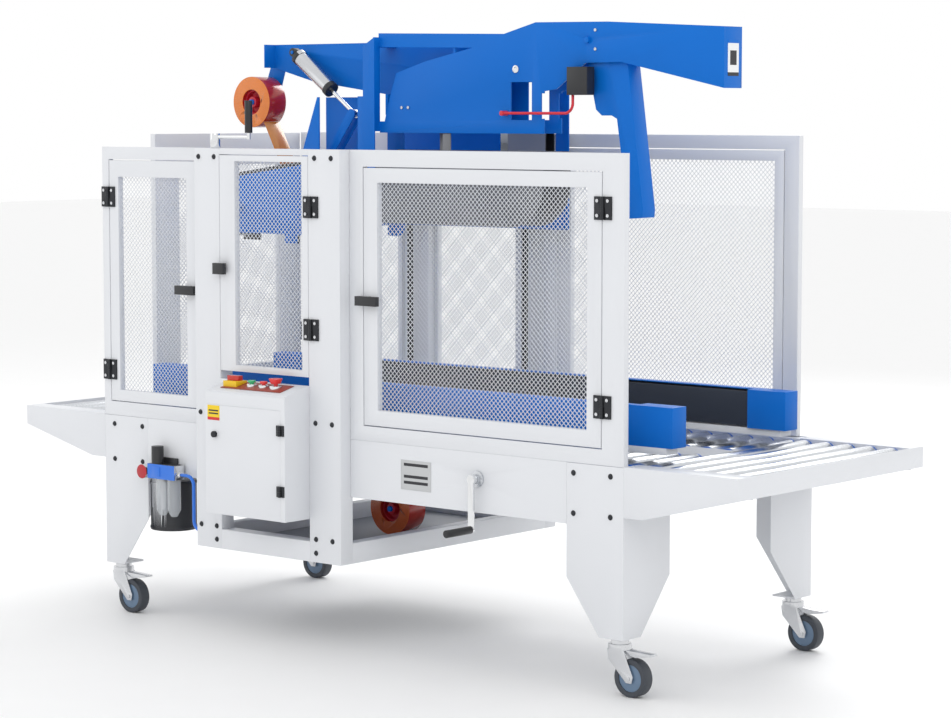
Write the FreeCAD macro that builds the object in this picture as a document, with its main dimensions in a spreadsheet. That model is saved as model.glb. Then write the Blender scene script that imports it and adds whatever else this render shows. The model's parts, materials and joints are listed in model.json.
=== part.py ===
import FreeCAD, Part
import os
import re
import Sketcher

# Carton sealer machine: a flap-folding, side-belt case taper on casters.
# Frame: +X along the conveyor towards the infeed end, +Y towards the cantilever side, +Z up.
# The origin lies on the floor at the centre of the machine's footprint; the conveyor's centre
# line is lane_y away from it, because the control box and the cranks stand out on one side only.

doc = FreeCAD.newDocument("carton_sealer")
sheet = doc.addObject("Spreadsheet::Sheet", "Dims")

# Driving dimensions in millimetres: alias, value, meaning.
DIMENSIONS = [
    ("lane_y", 55, "conveyor centre line, measured from the origin"),
    ("sheet_t", 2.5, "sheet steel thickness"),
    ("wall", 3, "wall of tubes and formed boxes"),
    ("gap", 0.3, "clearance between pieces that move or butt"),
    ("fit", 0.05, "radial clearance of a shaft in its bore"),
    # body
    ("body_half", 979, "half length of the body, outside the legs"),
    ("side_half", 440, "half width of the body, outside the side panels"),
    ("body_low", 438, "lower edge of the side panels"),
    ("panel_top", 600, "upper edge of the side panels"),
    ("rail_w", 40, "width of the bed rails"),
    ("rail_low", 540, "underside of the bed rails"),
    ("cross_x", 700, "bed cross tubes, from the centre"),
    ("cross_w", 30, "width of the bed cross tubes"),
    ("cross_low", 500, "underside of the bed cross tubes"),
    # legs
    ("leg_front", 186, "leg width on the side face"),
    ("leg_side", 204, "leg width on the end face"),
    ("leg_knee", 299, "height where the leg starts to taper"),
    ("leg_foot", 78, "leg width at the foot"),
    ("leg_low", 150, "underside of the leg"),
    # roller tables
    ("table_end", 1336.5, "end of the roller tables, from the centre"),
    ("table_top", 602, "top of the roller tables"),
    ("table_root_low", 470, "lower edge of the table side at the body"),
    ("table_tip_low", 545, "lower edge of the table side at its end"),
    ("table_lip", 62, "width of the table side's top flange"),
    ("roller_r", 25, "roller radius"),
    ("roller_z", 575, "roller axis height"),
    ("roller_wall", 1.8, "roller tube wall"),
    ("roller_cap", 8, "roller end cap thickness"),
    ("roller_pitch", 70, "roller pitch"),
    ("table_roller_x", 1001, "first table roller, from the centre"),
    ("bed_roller_x", 945, "outermost bed roller, from the centre"),
    ("bearer_in", 375.5, "inner face of the side roller bearers"),
    ("slot_half", 66.5, "half width of the centre slot for the lower taping head"),
    # tower
    ("tower_left", 544, "exit side of the tower, from the centre"),
    ("tower_right", 27, "infeed side of the tower, from the centre"),
    ("post_left_w", 101, "width of the exit-side posts"),
    ("post_right_w", 119, "width of the infeed-side posts"),
    ("tower_half", 480, "half width over the tower posts"),
    ("post_d", 49, "depth of the posts"),
    ("tower_low", 249, "underside of the tower base"),
    ("base_top", 306, "top of the tower base rails"),
    ("guard_top", 1405, "top of the near guards and near posts"),
    ("far_top", 1443, "top of the far guard and far posts"),
    ("far_right", 938, "infeed edge of the far guard"),
    # guards
    ("guard_d", 20, "depth of guard frames and doors"),
    ("mesh_t", 1.2, "thickness of the guard mesh"),
    ("hinge_tall", 60, "hinge height"),
    ("hinge_leaf", 28, "hinge leaf width"),
    ("hinge_t", 4, "hinge leaf thickness"),
    ("knuckle_r", 5, "hinge knuckle radius"),
    ("hinge_pin_r", 2.5, "hinge pin radius"),
    # control box
    ("box_left", 405, "exit side of the control box, from the centre"),
    ("box_right", 92, "infeed side of the control box, from the centre"),
    ("box_front", 575, "front of the control box, from the lane"),
    ("box_low", 370, "underside of the control box"),
    ("box_front_top", 722, "top of the control box at its front"),
    ("box_back_top", 745, "top of the control box at its back"),
    # side belts
    ("belt_left", 925, "exit end of the side belt units, from the centre"),
    ("belt_right", 1025, "infeed end of the side belt units, from the centre"),
    ("belt_in", 237, "inner face of each side belt, from the lane"),
    ("belt_loop_w", 50, "width over a belt loop"),
    ("belt_t", 3, "belt thickness"),
    ("belt_low", 643, "lower edge of the belts"),
    ("belt_high", 739, "upper edge of the belts"),
    ("unit_low", 638, "underside of the belt covers"),
    ("unit_high", 745, "top of the belt covers"),
    ("cover_len", 125, "length of the belt end covers"),
    ("unit_rail_t", 18, "thickness of the rail under each belt unit"),
    ("shaft_z", 530, "height of the belt units' guide shafts"),
    ("guide_r", 9, "radius of the guide shafts"),
    ("guide_x", 630, "guide shafts, from the centre"),
    ("screw_r", 8, "radius of the width screw"),
    ("width_crank_x", 490, "width screw, from the centre"),
    # casters
    ("caster_inset", 36, "caster stem, in from the leg's outer faces"),
    ("caster_trail", 44, "trail of the caster wheels"),
    ("wheel_r", 50, "caster wheel radius"),
    ("wheel_w", 32, "caster wheel width"),
    ("hub_r", 36, "caster hub radius"),
    ("axle_r", 5, "caster axle radius"),
    # overhead head
    ("head_half", 37, "half gap between the two head plates"),
    ("head_t", 4, "head plate thickness"),
    ("head_low", 1448, "lower edge of the head plates"),
    ("lift_y", 403, "lift screws, from the lane"),
    ("lift_r", 10, "radius of the lift screws"),
    ("carriage_w", 145, "width of the lift carriages"),
    ("carriage_low", 1160, "underside of the lift carriages"),
    ("carriage_high", 1450, "top of the lift carriages"),
    ("carriage_in", 376, "inner face of the lift carriages, from the lane"),
    ("carriage_out", 419.5, "outer face of the lift carriages, from the lane"),
    ("beam_high", 1700, "top of the head's cross beam"),
    # kicker linkage
    ("kick_x", 549, "kicker pivot, from the centre"),
    ("kick_z", 1705, "kicker pivot height"),
    ("kick_pin_r", 8, "kicker pivot pin radius"),
    ("kick_half", 28, "half width of the kicker channel"),
    ("tail_pin_x", 600, "cylinder pivot, from the centre"),
    ("tail_pin_z", 1687, "cylinder pivot height"),
    ("rod_end_x", 356, "rod end, from the centre"),
    ("rod_end_z", 1502, "rod end height"),
    ("lever_x", 470, "lever pivot, from the centre"),
    ("lever_z", 1350, "lever pivot height"),
    ("cyl_r", 22, "cylinder barrel radius"),
    ("cyl_len", 190, "cylinder length from its pivot to its front cap"),
    ("rod_r", 6, "piston rod radius"),
    ("pin_r", 5, "small pivot pin radius"),
    # taping heads
    ("tape_left", 880, "exit end of the upper taping head, from the centre"),
    ("tape_right", 505, "infeed end of the upper taping head, from the centre"),
    ("tape_low", 1140, "lower edge of the upper taping head"),
    ("tape_half", 54, "half width of the taping heads"),
    ("roll_x", 750, "upper tape roll, from the centre"),
    ("roll_z", 1538, "upper tape roll height"),
    ("roll_r", 77, "outer radius of a full tape roll"),
    ("core_r", 42, "outer radius of the tape core"),
    ("core_in", 38, "inner radius of the tape core"),
    ("tape_w", 72, "tape width"),
    ("low_roll_x", 188, "lower tape roll, from the centre"),
    ("low_roll_z", 340, "lower tape roll height"),
    ("low_left", 480, "exit end of the lower taping head, from the centre"),
    ("low_right", 120, "infeed end of the lower taping head, from the centre"),
    # cranks
    ("crank_x", 482, "height crank, from the centre"),
    ("crank_y", 455, "height crank, from the lane"),
    ("crank_arm_z", 1437, "height of the height crank's arm"),
    ("crank_reach", 135, "reach of both cranks"),
    # air preparation
    ("tank_x", 776, "air reservoir, from the centre"),
    ("tank_y", 352, "air reservoir, from the lane"),
    ("tank_r", 69, "air reservoir radius"),
    ("air_x", 722, "air filter, from the centre"),
    ("air_y", 468, "air filter, from the lane"),
]
NAMES = set()
for row, (alias, amount, meaning) in enumerate(DIMENSIONS, start=1):
    sheet.set(f"A{row}", meaning)
    sheet.set(f"B{row}", str(amount))
    sheet.setAlias(f"B{row}", alias)
    NAMES.add(alias)
doc.recompute()

NODES = []
TURN = {
    "X": FreeCAD.Rotation(FreeCAD.Vector(0, 1, 0), 90),
    "Y": FreeCAD.Rotation(FreeCAD.Vector(1, 0, 0), -90),
    "Z": FreeCAD.Rotation(),
}
PLANES = {"XZ": ("XZ_Plane", "y", True), "YZ": ("YZ_Plane", "x", False), "XY": ("XY_Plane", "z", False)}


# ---------------------------------------------------------------- helpers

def bound(text):
    """Point every dimension's name in an expression at the sheet."""
    return re.sub(r"[a-z][a-z_]*", lambda m: "Dims." + m[0] if m[0] in NAMES else m[0], str(text))


def bind(thing, prop, text):
    """Bind a property to an expression in the sheet's dimensions."""
    thing.setExpression(prop, bound(text))


def size(text):
    """The present value of an expression, in millimetres or degrees."""
    return float(sheet.evalExpression(bound(text)))


def put(thing, x, y, z):
    """Bind a piece's position."""
    for letter, text in zip("xyz", (x, y, z)):
        bind(thing, f"Placement.Base.{letter}", text)
    return thing


def block(x, y, z):
    """A box between two corners: each argument is its (low, high) along one axis."""
    box = doc.addObject("Part::Box", "block")
    for prop, (low, high) in zip(("Length", "Width", "Height"), (x, y, z)):
        bind(box, prop, f"({high}) - ({low})")
    return put(box, x[0], y[0], z[0])


def rod(axis, start, length, radius):
    """A round bar from a start point along +X, +Y or +Z."""
    bar = doc.addObject("Part::Cylinder", "rod")
    bar.Placement = FreeCAD.Placement(FreeCAD.Vector(), TURN[axis])
    bind(bar, "Radius", radius)
    bind(bar, "Height", length)
    return put(bar, *start)


def cone(axis, start, length, radius, end_radius):
    """A tapered bar from a start point along +X, +Y or +Z."""
    bar = doc.addObject("Part::Cone", "cone")
    bar.Placement = FreeCAD.Placement(FreeCAD.Vector(), TURN[axis])
    bind(bar, "Radius1", radius)
    bind(bar, "Radius2", end_radius)
    bind(bar, "Height", length)
    return put(bar, *start)


def cut(base, *tools):
    """The base less each tool in turn."""
    for tool in tools:
        step = doc.addObject("Part::Cut", "cut")
        step.Base = base
        step.Tool = tool
        base = step
    return base


def fuse(*pieces):
    """Several touching pieces as one solid."""
    joined = doc.addObject("Part::MultiFuse", "fuse")
    joined.Shapes = list(pieces)
    joined.Refine = True
    return joined


def tube(axis, start, length, radius, bore):
    """A round tube."""
    return cut(rod(axis, start, length, radius), rod(axis, start, length, bore))


def hollow(x, y, z, open_axis, thick="wall"):
    """A rectangular tube that is open along one axis."""
    inner = []
    for axis, (low, high) in zip("XYZ", (x, y, z)):
        if axis == open_axis:
            inner.append((low, high))
        else:
            inner.append((f"({low}) + {thick}", f"({high}) - {thick}"))
    return cut(block(x, y, z), block(*inner))


def plate(plane, outline, at, thick, rounds=()):
    """A flat plate cut to an outline of (across, up) points, from `at` towards plus.

    rounds holds (corner number, radius) pairs."""
    role, letter, reverse = PLANES[plane]
    body = doc.addObject("PartDesign::Body", "plate")
    sketch = body.newObject("Sketcher::SketchObject", "outline")
    support = [f for f in body.Origin.OriginFeatures if f.Role == role][0]
    sketch.AttachmentSupport = [(support, "")]
    sketch.MapMode = "FlatFace"
    points = [FreeCAD.Vector(size(across), size(up), 0) for across, up in outline]
    count = len(points)
    for i, point in enumerate(points):
        sketch.addGeometry(Part.LineSegment(point, points[(i + 1) % count]))
    for i in range(count):
        sketch.addConstraint(Sketcher.Constraint("Coincident", i, 2, (i + 1) % count, 1))
    for i, (across, up) in enumerate(outline):
        number = sketch.addConstraint(Sketcher.Constraint("DistanceX", -1, 1, i, 1, points[i].x))
        bind(sketch, f"Constraints[{number}]", across)
        number = sketch.addConstraint(Sketcher.Constraint("DistanceY", -1, 1, i, 1, points[i].y))
        bind(sketch, f"Constraints[{number}]", up)
    pad = body.newObject("PartDesign::Pad", "pad")
    pad.Profile = sketch
    pad.Reversed = reverse
    bind(pad, "Length", thick)
    bind(body, f"Placement.Base.{letter}", at)
    if rounds:
        doc.recompute()
    for corner, radius in rounds:
        fillet = body.newObject("PartDesign::Fillet", "round")
        fillet.Base = (pad, corner_edges(pad.Shape, letter, points[corner]))
        bind(fillet, "Radius", radius)
        doc.recompute()
        pad = fillet
    return body


def corner_edges(shape, letter, point):
    """Names of the edges that stand on an outline's corner."""
    others = [axis for axis in "xyz" if axis != letter]
    names = []
    for number, edge in enumerate(shape.Edges, start=1):
        box = edge.BoundBox
        spans = {"x": box.XLength, "y": box.YLength, "z": box.ZLength}
        middle = {"x": box.Center.x, "y": box.Center.y, "z": box.Center.z}
        level = all(spans[axis] < 1e-6 for axis in others)
        if level and abs(middle[others[0]] - point.x) < 1e-4 and abs(middle[others[1]] - point.y) < 1e-4:
            names.append(f"Edge{number}")
    return names


def node(name, *pieces):
    """One named sub-part: a group of pieces, set off from the origin by the lane's offset."""
    group = doc.addObject("Part::Compound", name)
    group.Label = name
    group.Links = list(pieces)
    bind(group, "Placement.Base.y", "lane_y")
    NODES.append(group)
    return group


def tray_frame(x, z, window, face, back):
    """A guard frame or door: sheet with a window and returned edges, open at its back.

    window is (x low, x high, z low, z high)."""
    left, right, low, high = window
    frame = cut(block(x, (face, back), z), block((left, right), (face, back), (low, high)))
    inner = block(
        (f"({x[0]}) + sheet_t", f"({x[1]}) - sheet_t"),
        (f"({face}) + sheet_t", back),
        (f"({z[0]}) + sheet_t", f"({z[1]}) - sheet_t"),
    )
    keep = block(
        (f"({left}) - sheet_t", f"({right}) + sheet_t"),
        (f"({face}) + sheet_t", back),
        (f"({low}) - sheet_t", f"({high}) + sheet_t"),
    )
    return cut(frame, cut(inner, keep))


def mesh_panel(window, face):
    """The mesh that fills a window, as one flat sheet."""
    left, right, low, high = window
    level = f"({face}) + guard_d / 2"
    return block(
        (f"({left}) + gap", f"({right}) - gap"),
        (level, f"({level}) + mesh_t"),
        (f"({low}) + gap", f"({high}) - gap"),
    )


def hinge_half(axis_x, face, z_mid, side, outward, upper, tall="hinge_tall", wide="hinge_leaf"):
    """One leaf of an upright hinge with its knuckle; the upper half carries the pin.

    side is 1 or -1, the way the leaf points along X; outward is -1 where the face looks to -Y."""
    centre = f"(({face}) + ({outward}) * (knuckle_r + gap))"
    near, far = f"({axis_x}) + ({side})", f"({axis_x}) + ({side}) * {wide}"
    x = (near, far) if side > 0 else (far, near)
    leaf_out = f"({face}) + ({outward}) * hinge_t"
    y = (leaf_out, face) if outward < 0 else (face, leaf_out)
    low, high = f"(({z_mid}) - {tall} / 2)", f"(({z_mid}) + {tall} / 2)"
    leaf = block(x, y, (low, high))
    other = f"{low} - 1" if upper else z_mid
    room = rod("Z", (axis_x, centre, other), f"{tall} / 2 + 1", "knuckle_r + gap")
    start = f"({z_mid}) + gap / 2" if upper else low
    knuckle = rod("Z", (axis_x, centre, start), f"{tall} / 2 - gap / 2", "knuckle_r")
    half = fuse(cut(leaf, room), knuckle)
    if upper:
        return fuse(half, rod("Z", (axis_x, centre, low), tall, "hinge_pin_r"))
    return cut(half, rod("Z", (axis_x, centre, low), tall, "hinge_pin_r + fit"))


def dome(x, y, z, outward=-1):
    """A dome-head bolt on a face that looks along Y."""
    if outward < 0:
        return cone("Y", (x, f"({y}) - 4.5", z), 4.5, 4.5, 8)
    return cone("Y", (x, y, z), 4.5, 8, 4.5)


SIDES = (("near", -1), ("far", 1))


def band(side, low, high):
    """The (low, high) of a band at these distances from the lane, on one side of it."""
    return (low, high) if side > 0 else (f"-({high})", f"-({low})")


# ---------------------------------------------------------------- body and bed

post_in = "(tower_half - post_d)"
rail_out = f"({post_in} - gap)"
rail_high = "(panel_top - 2)"

panels = []
for _, side in SIDES:
    for x in (
        ("tower_right + gap", "body_half - leg_front - gap"),
        ("-(body_half - leg_front - gap)", "-(tower_left + gap)"),
    ):
        face = block(x, band(side, "side_half - sheet_t", "side_half"), ("body_low", "panel_top + 0.5"))
        top = block(x, band(side, "side_half - rail_w", "side_half"), (rail_high, "panel_top + 0.5"))
        foot = block(x, band(side, "side_half - 25", "side_half"), ("body_low", "body_low + sheet_t"))
        panel = fuse(face, top, foot)
        if side < 0 and x[0].startswith("tower"):
            panel = cut(panel, rod("Y", ("width_crank_x", "-side_half - 1", "shaft_z"), 10, "screw_r + 6"))
        panels.append(panel)
node("side_panels", *panels)

LIFT_X = ("(-tower_left + post_left_w / 2)", "(tower_right - post_right_w / 2)")
bed = []
for _, side in SIDES:
    rail = hollow(
        ("-body_half + sheet_t", "body_half - sheet_t"), band(side, f"{rail_out} - rail_w", rail_out),
        ("rail_low", rail_high), "X")
    if side > 0:
        for x in LIFT_X:
            rail = cut(rail, rod("Z", (x, "lift_y", "rail_low - 1"), f"{rail_high} - rail_low + 2", "lift_r + gap"))
    bed.append(rail)
    for low, high in (("bearer_in", "bearer_in + sheet_t"), ("slot_half", "slot_half + sheet_t")):
        bed.append(block(
            ("-body_half + sheet_t + gap", "body_half - sheet_t - gap"), band(side, low, high),
            ("rail_low", f"{rail_high} - 2")))
for side in (-1, 1):
    for x in ("cross_x", "cross_x + 200"):
        centre = f"({side}) * ({x})"
        bed.append(hollow(
            (f"{centre} - cross_w / 2", f"{centre} + cross_w / 2"),
            (f"-{rail_out}", rail_out), ("cross_low", "rail_low"), "Y"))
node("bed_frame", *bed)


def leg(end, side):
    """A bent-plate leg: two tapered faces that share the outer corner, and the caster's foot plate."""
    corner_x, corner_y = f"({end}) * body_half", f"({side}) * side_half"
    front = [
        (corner_x, "panel_top"), (f"({end}) * (body_half - leg_front)", "panel_top"),
        (f"({end}) * (body_half - leg_front)", "leg_knee"), (f"({end}) * (body_half - leg_foot)", "leg_low"),
        (corner_x, "leg_low"),
    ]
    flank = [
        (corner_y, "roller_z - roller_r"), (f"({side}) * (side_half - leg_side)", "roller_z - roller_r"),
        (f"({side}) * (side_half - leg_side)", "leg_knee"), (f"({side}) * (side_half - leg_foot)", "leg_low"),
        (corner_y, "leg_low"),
    ]
    front_at = "side_half - sheet_t" if side > 0 else "-side_half"
    flank_at = "body_half - sheet_t" if end > 0 else "-body_half"
    x = ("body_half - leg_foot", "body_half") if end > 0 else ("-body_half", "-(body_half - leg_foot)")
    foot = block(x, band(side, "side_half - leg_foot", "side_half"), ("leg_low", "leg_low + 5"))
    return fuse(plate("XZ", front, front_at, "sheet_t"), plate("YZ", flank, flank_at, "sheet_t"), foot)


node("legs", *[leg(end, side) for end in (1, -1) for _, side in SIDES])

# ---------------------------------------------------------------- roller tables


def table(end):
    """One roller table: two tapered side channels with roller bearers, and an end channel."""
    pieces = []
    for _, side in SIDES:
        outline = [
            (f"({end}) * (body_half + gap)", "table_top"), (f"({end}) * table_end", "table_top"),
            (f"({end}) * table_end", "table_tip_low"), (f"({end}) * (body_half + 60)", "table_root_low"),
            (f"({end}) * (body_half + gap)", "table_root_low"),
        ]
        at = "side_half - sheet_t" if side > 0 else "-side_half"
        span = ("body_half + gap", "table_end") if end > 0 else ("-table_end", "-(body_half + gap)")
        lip = block(span, band(side, "side_half - table_lip", "side_half"), ("table_top - sheet_t", "table_top"))
        bearer = block(
            span, band(side, "bearer_in", "bearer_in + sheet_t"), ("table_top - 60", "table_top"))
        pieces.append(plate("XZ", outline, at, "sheet_t"))
        pieces.append(lip)
        pieces.append(bearer)
    x = ("table_end - sheet_t", "table_end") if end > 0 else ("-table_end", "-(table_end - sheet_t)")
    pieces.append(block(x, ("-side_half", "side_half"), ("table_tip_low", "table_top")))
    return fuse(*pieces)


node("table_frames", table(1), table(-1))


def roller(x, y_low, y_high):
    """A conveyor roller along Y: a tube between two end caps with their spigots."""
    caps = []
    for start, step in ((y_low, 1), (y_high, -1)):
        base = start if step > 0 else f"({start}) - roller_cap"
        caps.append(rod("Y", (x, base, "roller_z"), "roller_cap", "roller_r - 1"))
    shell = tube(
        "Y", (x, f"({y_low}) + roller_cap", "roller_z"),
        f"({y_high}) - ({y_low}) - 2 * roller_cap", "roller_r", "roller_r - roller_wall")
    return shell, caps


TABLE_ROLLERS = 5
shells, caps = [], []
for end in (1, -1):
    for i in range(TABLE_ROLLERS):
        shell, ends = roller(
            f"({end}) * (table_roller_x + {i} * roller_pitch)", "-(bearer_in - gap)", "bearer_in - gap")
        shells.append(shell)
        caps.extend(ends)
node("table_rollers", *shells, *caps)

BED_ROLLERS = 28
bed_rollers = []
for i in range(BED_ROLLERS):
    for _, side in SIDES:
        low, high = band(side, "slot_half + sheet_t + gap", "bearer_in - gap")
        shell, ends = roller(f"-bed_roller_x + {i} * roller_pitch", low, high)
        bed_rollers.append(shell)
        bed_rollers.extend(ends)
node("bed_rollers", *bed_rollers)

# ---------------------------------------------------------------- tower

POSTS = (
    ("-tower_left", "-tower_left + post_left_w"),
    ("tower_right - post_right_w", "tower_right"),
)
posts = []
for x in POSTS:
    near_y, far_y = ("-tower_half", f"-{post_in}"), (post_in, "tower_half")
    near_post = fuse(
        hollow(x, near_y, ("tower_low", "guard_top"), "Z"), block(x, near_y, ("guard_top - wall", "guard_top")),
        block(x, near_y, ("base_top - 2 * wall", "base_top")))
    posts.append(cut(near_post, rod(
        "Z", ("-crank_x", "-crank_y", "guard_top - 2 * wall"), "3 * wall", "lift_r - 2 + fit")))
    far_post = fuse(
        hollow(x, far_y, ("tower_low", "far_top"), "Z"), block(x, far_y, ("far_top - wall", "far_top")))
    posts.append(far_post)
node("tower_posts", *posts)

inner_x = ("-tower_left + post_left_w", "tower_right - post_right_w")
base = []
for _, side in SIDES:
    base.append(hollow(inner_x, band(side, post_in, "tower_half"), ("tower_low", "base_top"), "X"))
for x in (("-tower_left", "-tower_left + rail_w"), ("tower_right - rail_w", "tower_right")):
    base.append(hollow(x, (f"-{post_in}", post_in), ("tower_low", "base_top"), "Y"))
tray_x = ("-tower_left + rail_w", "tower_right - rail_w")
base.append(block(tray_x, (f"-{post_in}", post_in), ("tower_low + 6", "tower_low + 9")))
for x, span in (
    (LIFT_X[0], ("-tower_left + rail_w", f"{LIFT_X[0]} + 16")),
    (LIFT_X[1], (f"{LIFT_X[1]} - 16", "tower_right - rail_w")),
):
    bearing = block(span, ("lift_y - 16", "lift_y + 16"), ("base_top - 24", "base_top"))
    base.append(cut(bearing, rod("Z", (x, "lift_y", "base_top - 10"), 12, "lift_r + fit")))
base.append(block(inner_x, ("-tower_half", "-tower_half + wall"), ("box_low + 2", "box_back_top")))
base.append(block(inner_x, ("-tower_half", f"-{post_in}"), ("guard_top - 17", "guard_top")))
base.append(block(inner_x, (post_in, "tower_half"), ("far_top - 30", "far_top")))
node("tower_base", *base)

# ---------------------------------------------------------------- guards and doors

near_face = "-side_half"
near_back = "-side_half + guard_d"
far_face = "side_half - guard_d"
far_back = "side_half"
guard_low = "(panel_top + 0.5 + gap)"

DOOR_R = {"x": ("80", "905"), "z": ("645", "1356")}
WIN_R = ("130", "858", "688", "1316")
DOOR_L = {"x": ("-948", "-562"), "z": ("645", "1365")}
WIN_L = ("-910", "-620", "678", "1316")
DOOR_F = {"x": ("80", "887"), "z": ("650", "1401")}
WIN_F = ("130", "856", "700", "1372")
DOOR_T = {
    "x": ("-tower_left + post_left_w + 2", "tower_right - post_right_w - 2"),
    "z": ("box_back_top + 24", "guard_top - 19"),
}
WIN_T = ("-381", "-118", "box_back_top + 42", "guard_top - 36")


def opening_round(door):
    """The opening that a door leaves in its frame."""
    (left, right), (low, high) = door["x"], door["z"]
    return (f"({left}) - 3", f"({right}) + 3", f"({low}) - 3", f"({high}) + 3")


node(
    "near_guard_frames",
    tray_frame(("tower_right + gap", "body_half"), (guard_low, "guard_top"), opening_round(DOOR_R), near_face, near_back),
    tray_frame(("-body_half", "-tower_left - gap"), (guard_low, "guard_top"), opening_round(DOOR_L), near_face, near_back),
)
WIN_FL = ("-900", "-560", "700", "1372")
WIN_FT = ("-tower_left + post_left_w + 14", "tower_right - post_right_w - 14", "700", "1372")
node(
    "far_guard_frames",
    tray_frame(("tower_right + gap", "far_right"), (guard_low, "far_top"), opening_round(DOOR_F), far_face, far_back),
    tray_frame(("-body_half", "-tower_left - gap"), (guard_low, "far_top"), WIN_FL, far_face, far_back),
    tray_frame(
        (f"{inner_x[0]} + gap", f"{inner_x[1]} - gap"), (guard_low, "far_top - 30 - gap"), WIN_FT,
        "tower_half - guard_d", "tower_half"),
    mesh_panel(WIN_FL, far_face),
    mesh_panel(WIN_FT, "tower_half - guard_d"),
)

HINGE_R = ("911", near_face, ("1264", "752"))
HINGE_L = ("-951", near_face, ("1256", "738"))
HINGE_T = ("-81", "-tower_half", ("1245", "903"))
HINGE_F = ("890", far_back, ("1280", "770"))
fixed_leaves = []
for (axis_x, face, heights), side, outward in (
    (HINGE_R, 1, -1), (HINGE_L, -1, -1), (HINGE_T, 1, -1), (HINGE_F, 1, 1),
):
    for z in heights:
        fixed_leaves.append(hinge_half(axis_x, face, z, side, outward, True))


def door_leaves(hinge, side, outward):
    """The door's own halves of its two hinges."""
    axis_x, face, heights = hinge
    return [hinge_half(axis_x, face, z, side, outward, False) for z in heights]


node(
    "near_right_door",
    tray_frame(DOOR_R["x"], DOOR_R["z"], WIN_R, near_face, near_back), mesh_panel(WIN_R, near_face),
    *door_leaves(HINGE_R, -1, -1))
node(
    "near_left_door",
    tray_frame(DOOR_L["x"], DOOR_L["z"], WIN_L, near_face, near_back), mesh_panel(WIN_L, near_face),
    *door_leaves(HINGE_L, 1, -1))
node(
    "tower_door",
    tray_frame(DOOR_T["x"], DOOR_T["z"], WIN_T, "-tower_half", "-tower_half + guard_d"),
    mesh_panel(WIN_T, "-tower_half"), *door_leaves(HINGE_T, -1, -1))
node(
    "far_door",
    tray_frame(DOOR_F["x"], DOOR_F["z"], WIN_F, far_face, far_back), mesh_panel(WIN_F, far_face),
    *door_leaves(HINGE_F, -1, 1))

# Exit gate: a door across the exit end, on an upright hinge at the far corner.
gate_x = ("-body_half - guard_d - 1", "-body_half - 1")
gate_y = ("-222", "side_half - guard_d - 3")
gate_z = ("610", "far_top - 2")
gate_window = ("-122", "side_half - guard_d - 100", "708", "far_top - 100")
gate = cut(
    block(gate_x, gate_y, gate_z),
    block(gate_x, (gate_window[0], gate_window[1]), (gate_window[2], gate_window[3])))
gate_pocket = cut(
    block(
        (gate_x[0], f"{gate_x[1]} - sheet_t"),
        (f"{gate_y[0]} + sheet_t", f"{gate_y[1]} - sheet_t"), (f"{gate_z[0]} + sheet_t", f"{gate_z[1]} - sheet_t")),
    block(
        (gate_x[0], f"{gate_x[1]} - sheet_t"),
        (f"{gate_window[0]} - sheet_t", f"{gate_window[1]} + sheet_t"),
        (f"{gate_window[2]} - sheet_t", f"{gate_window[3]} + sheet_t")))
gate_mesh = block(
    (f"{gate_x[0]} + guard_d / 2", f"{gate_x[0]} + guard_d / 2 + mesh_t"),
    (f"{gate_window[0]} + gap", f"{gate_window[1]} - gap"), (f"{gate_window[2]} + gap", f"{gate_window[3]} - gap"))
gate_axis = (f"{gate_x[0]} - knuckle_r - gap", "side_half - guard_d - 1.5")
gate_leaves = []
for z in (800, 1250):
    low = f"{z} - hinge_tall / 2"
    leaf = block(
        (f"{gate_x[0]} - hinge_t", gate_x[0]), (f"{gate_axis[1]} - hinge_leaf - 2", f"{gate_axis[1]} - 2"),
        (low, f"{z} + hinge_tall / 2"))
    arm = block(
        (f"{gate_x[0]} - hinge_t", gate_x[0]), (f"{gate_axis[1]} - 4", f"{gate_axis[1]}"), (low, f"{z} - gap / 2"))
    knuckle = rod("Z", (*gate_axis, low), "hinge_tall / 2 - gap / 2", "knuckle_r")
    room = rod("Z", (*gate_axis, z), "hinge_tall", "knuckle_r + gap")
    bore = rod("Z", (*gate_axis, f"{z} - hinge_tall"), "2 * hinge_tall", "hinge_pin_r + fit")
    gate_leaves.append(cut(fuse(cut(leaf, room), arm, knuckle), bore))
    anchor = block(
        (f"{gate_x[0]} - hinge_t", "-body_half"), (f"{gate_axis[1]} + 2", "side_half"), (low, f"{z} + hinge_tall / 2"))
    bridge = block(
        (f"{gate_x[0]} - hinge_t", gate_x[0]), (gate_axis[1], f"{gate_axis[1]} + 3"),
        (f"{z} + gap / 2", f"{z} + hinge_tall / 2"))
    clear = rod("Z", (*gate_axis, f"{z} - hinge_tall"), "hinge_tall", "knuckle_r + gap")
    upper = rod("Z", (*gate_axis, f"{z} + gap / 2"), "hinge_tall / 2 - gap / 2", "knuckle_r")
    pin = rod("Z", (*gate_axis, low), "hinge_tall", "hinge_pin_r")
    fixed_leaves.append(fuse(cut(anchor, clear), bridge, upper, pin))
node("exit_gate", cut(gate, gate_pocket), gate_mesh, *gate_leaves)


def latch(x, face, z, left, right, half):
    """A quarter-turn latch handle: a spindle and a wing that reaches left and right of it."""
    spindle = rod("Y", (x, f"({face}) - 20", z), "20 - gap", 13)
    wing = block(
        (f"({x}) - {left}", f"({x}) + {right}"), (f"({face}) - 22", f"({face}) - 8"),
        (f"({z}) - {half}", f"({z}) + {half}"))
    return fuse(spindle, wing)


node("near_right_latch", latch("104", near_face, "990", 39, 39, 13))
node("near_left_latch", latch("-600", near_face, "990", 50, 28, 13))
node("tower_latch", latch("-430", "-tower_half", "1062", 21, 21, 16))

# ---------------------------------------------------------------- control box

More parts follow.
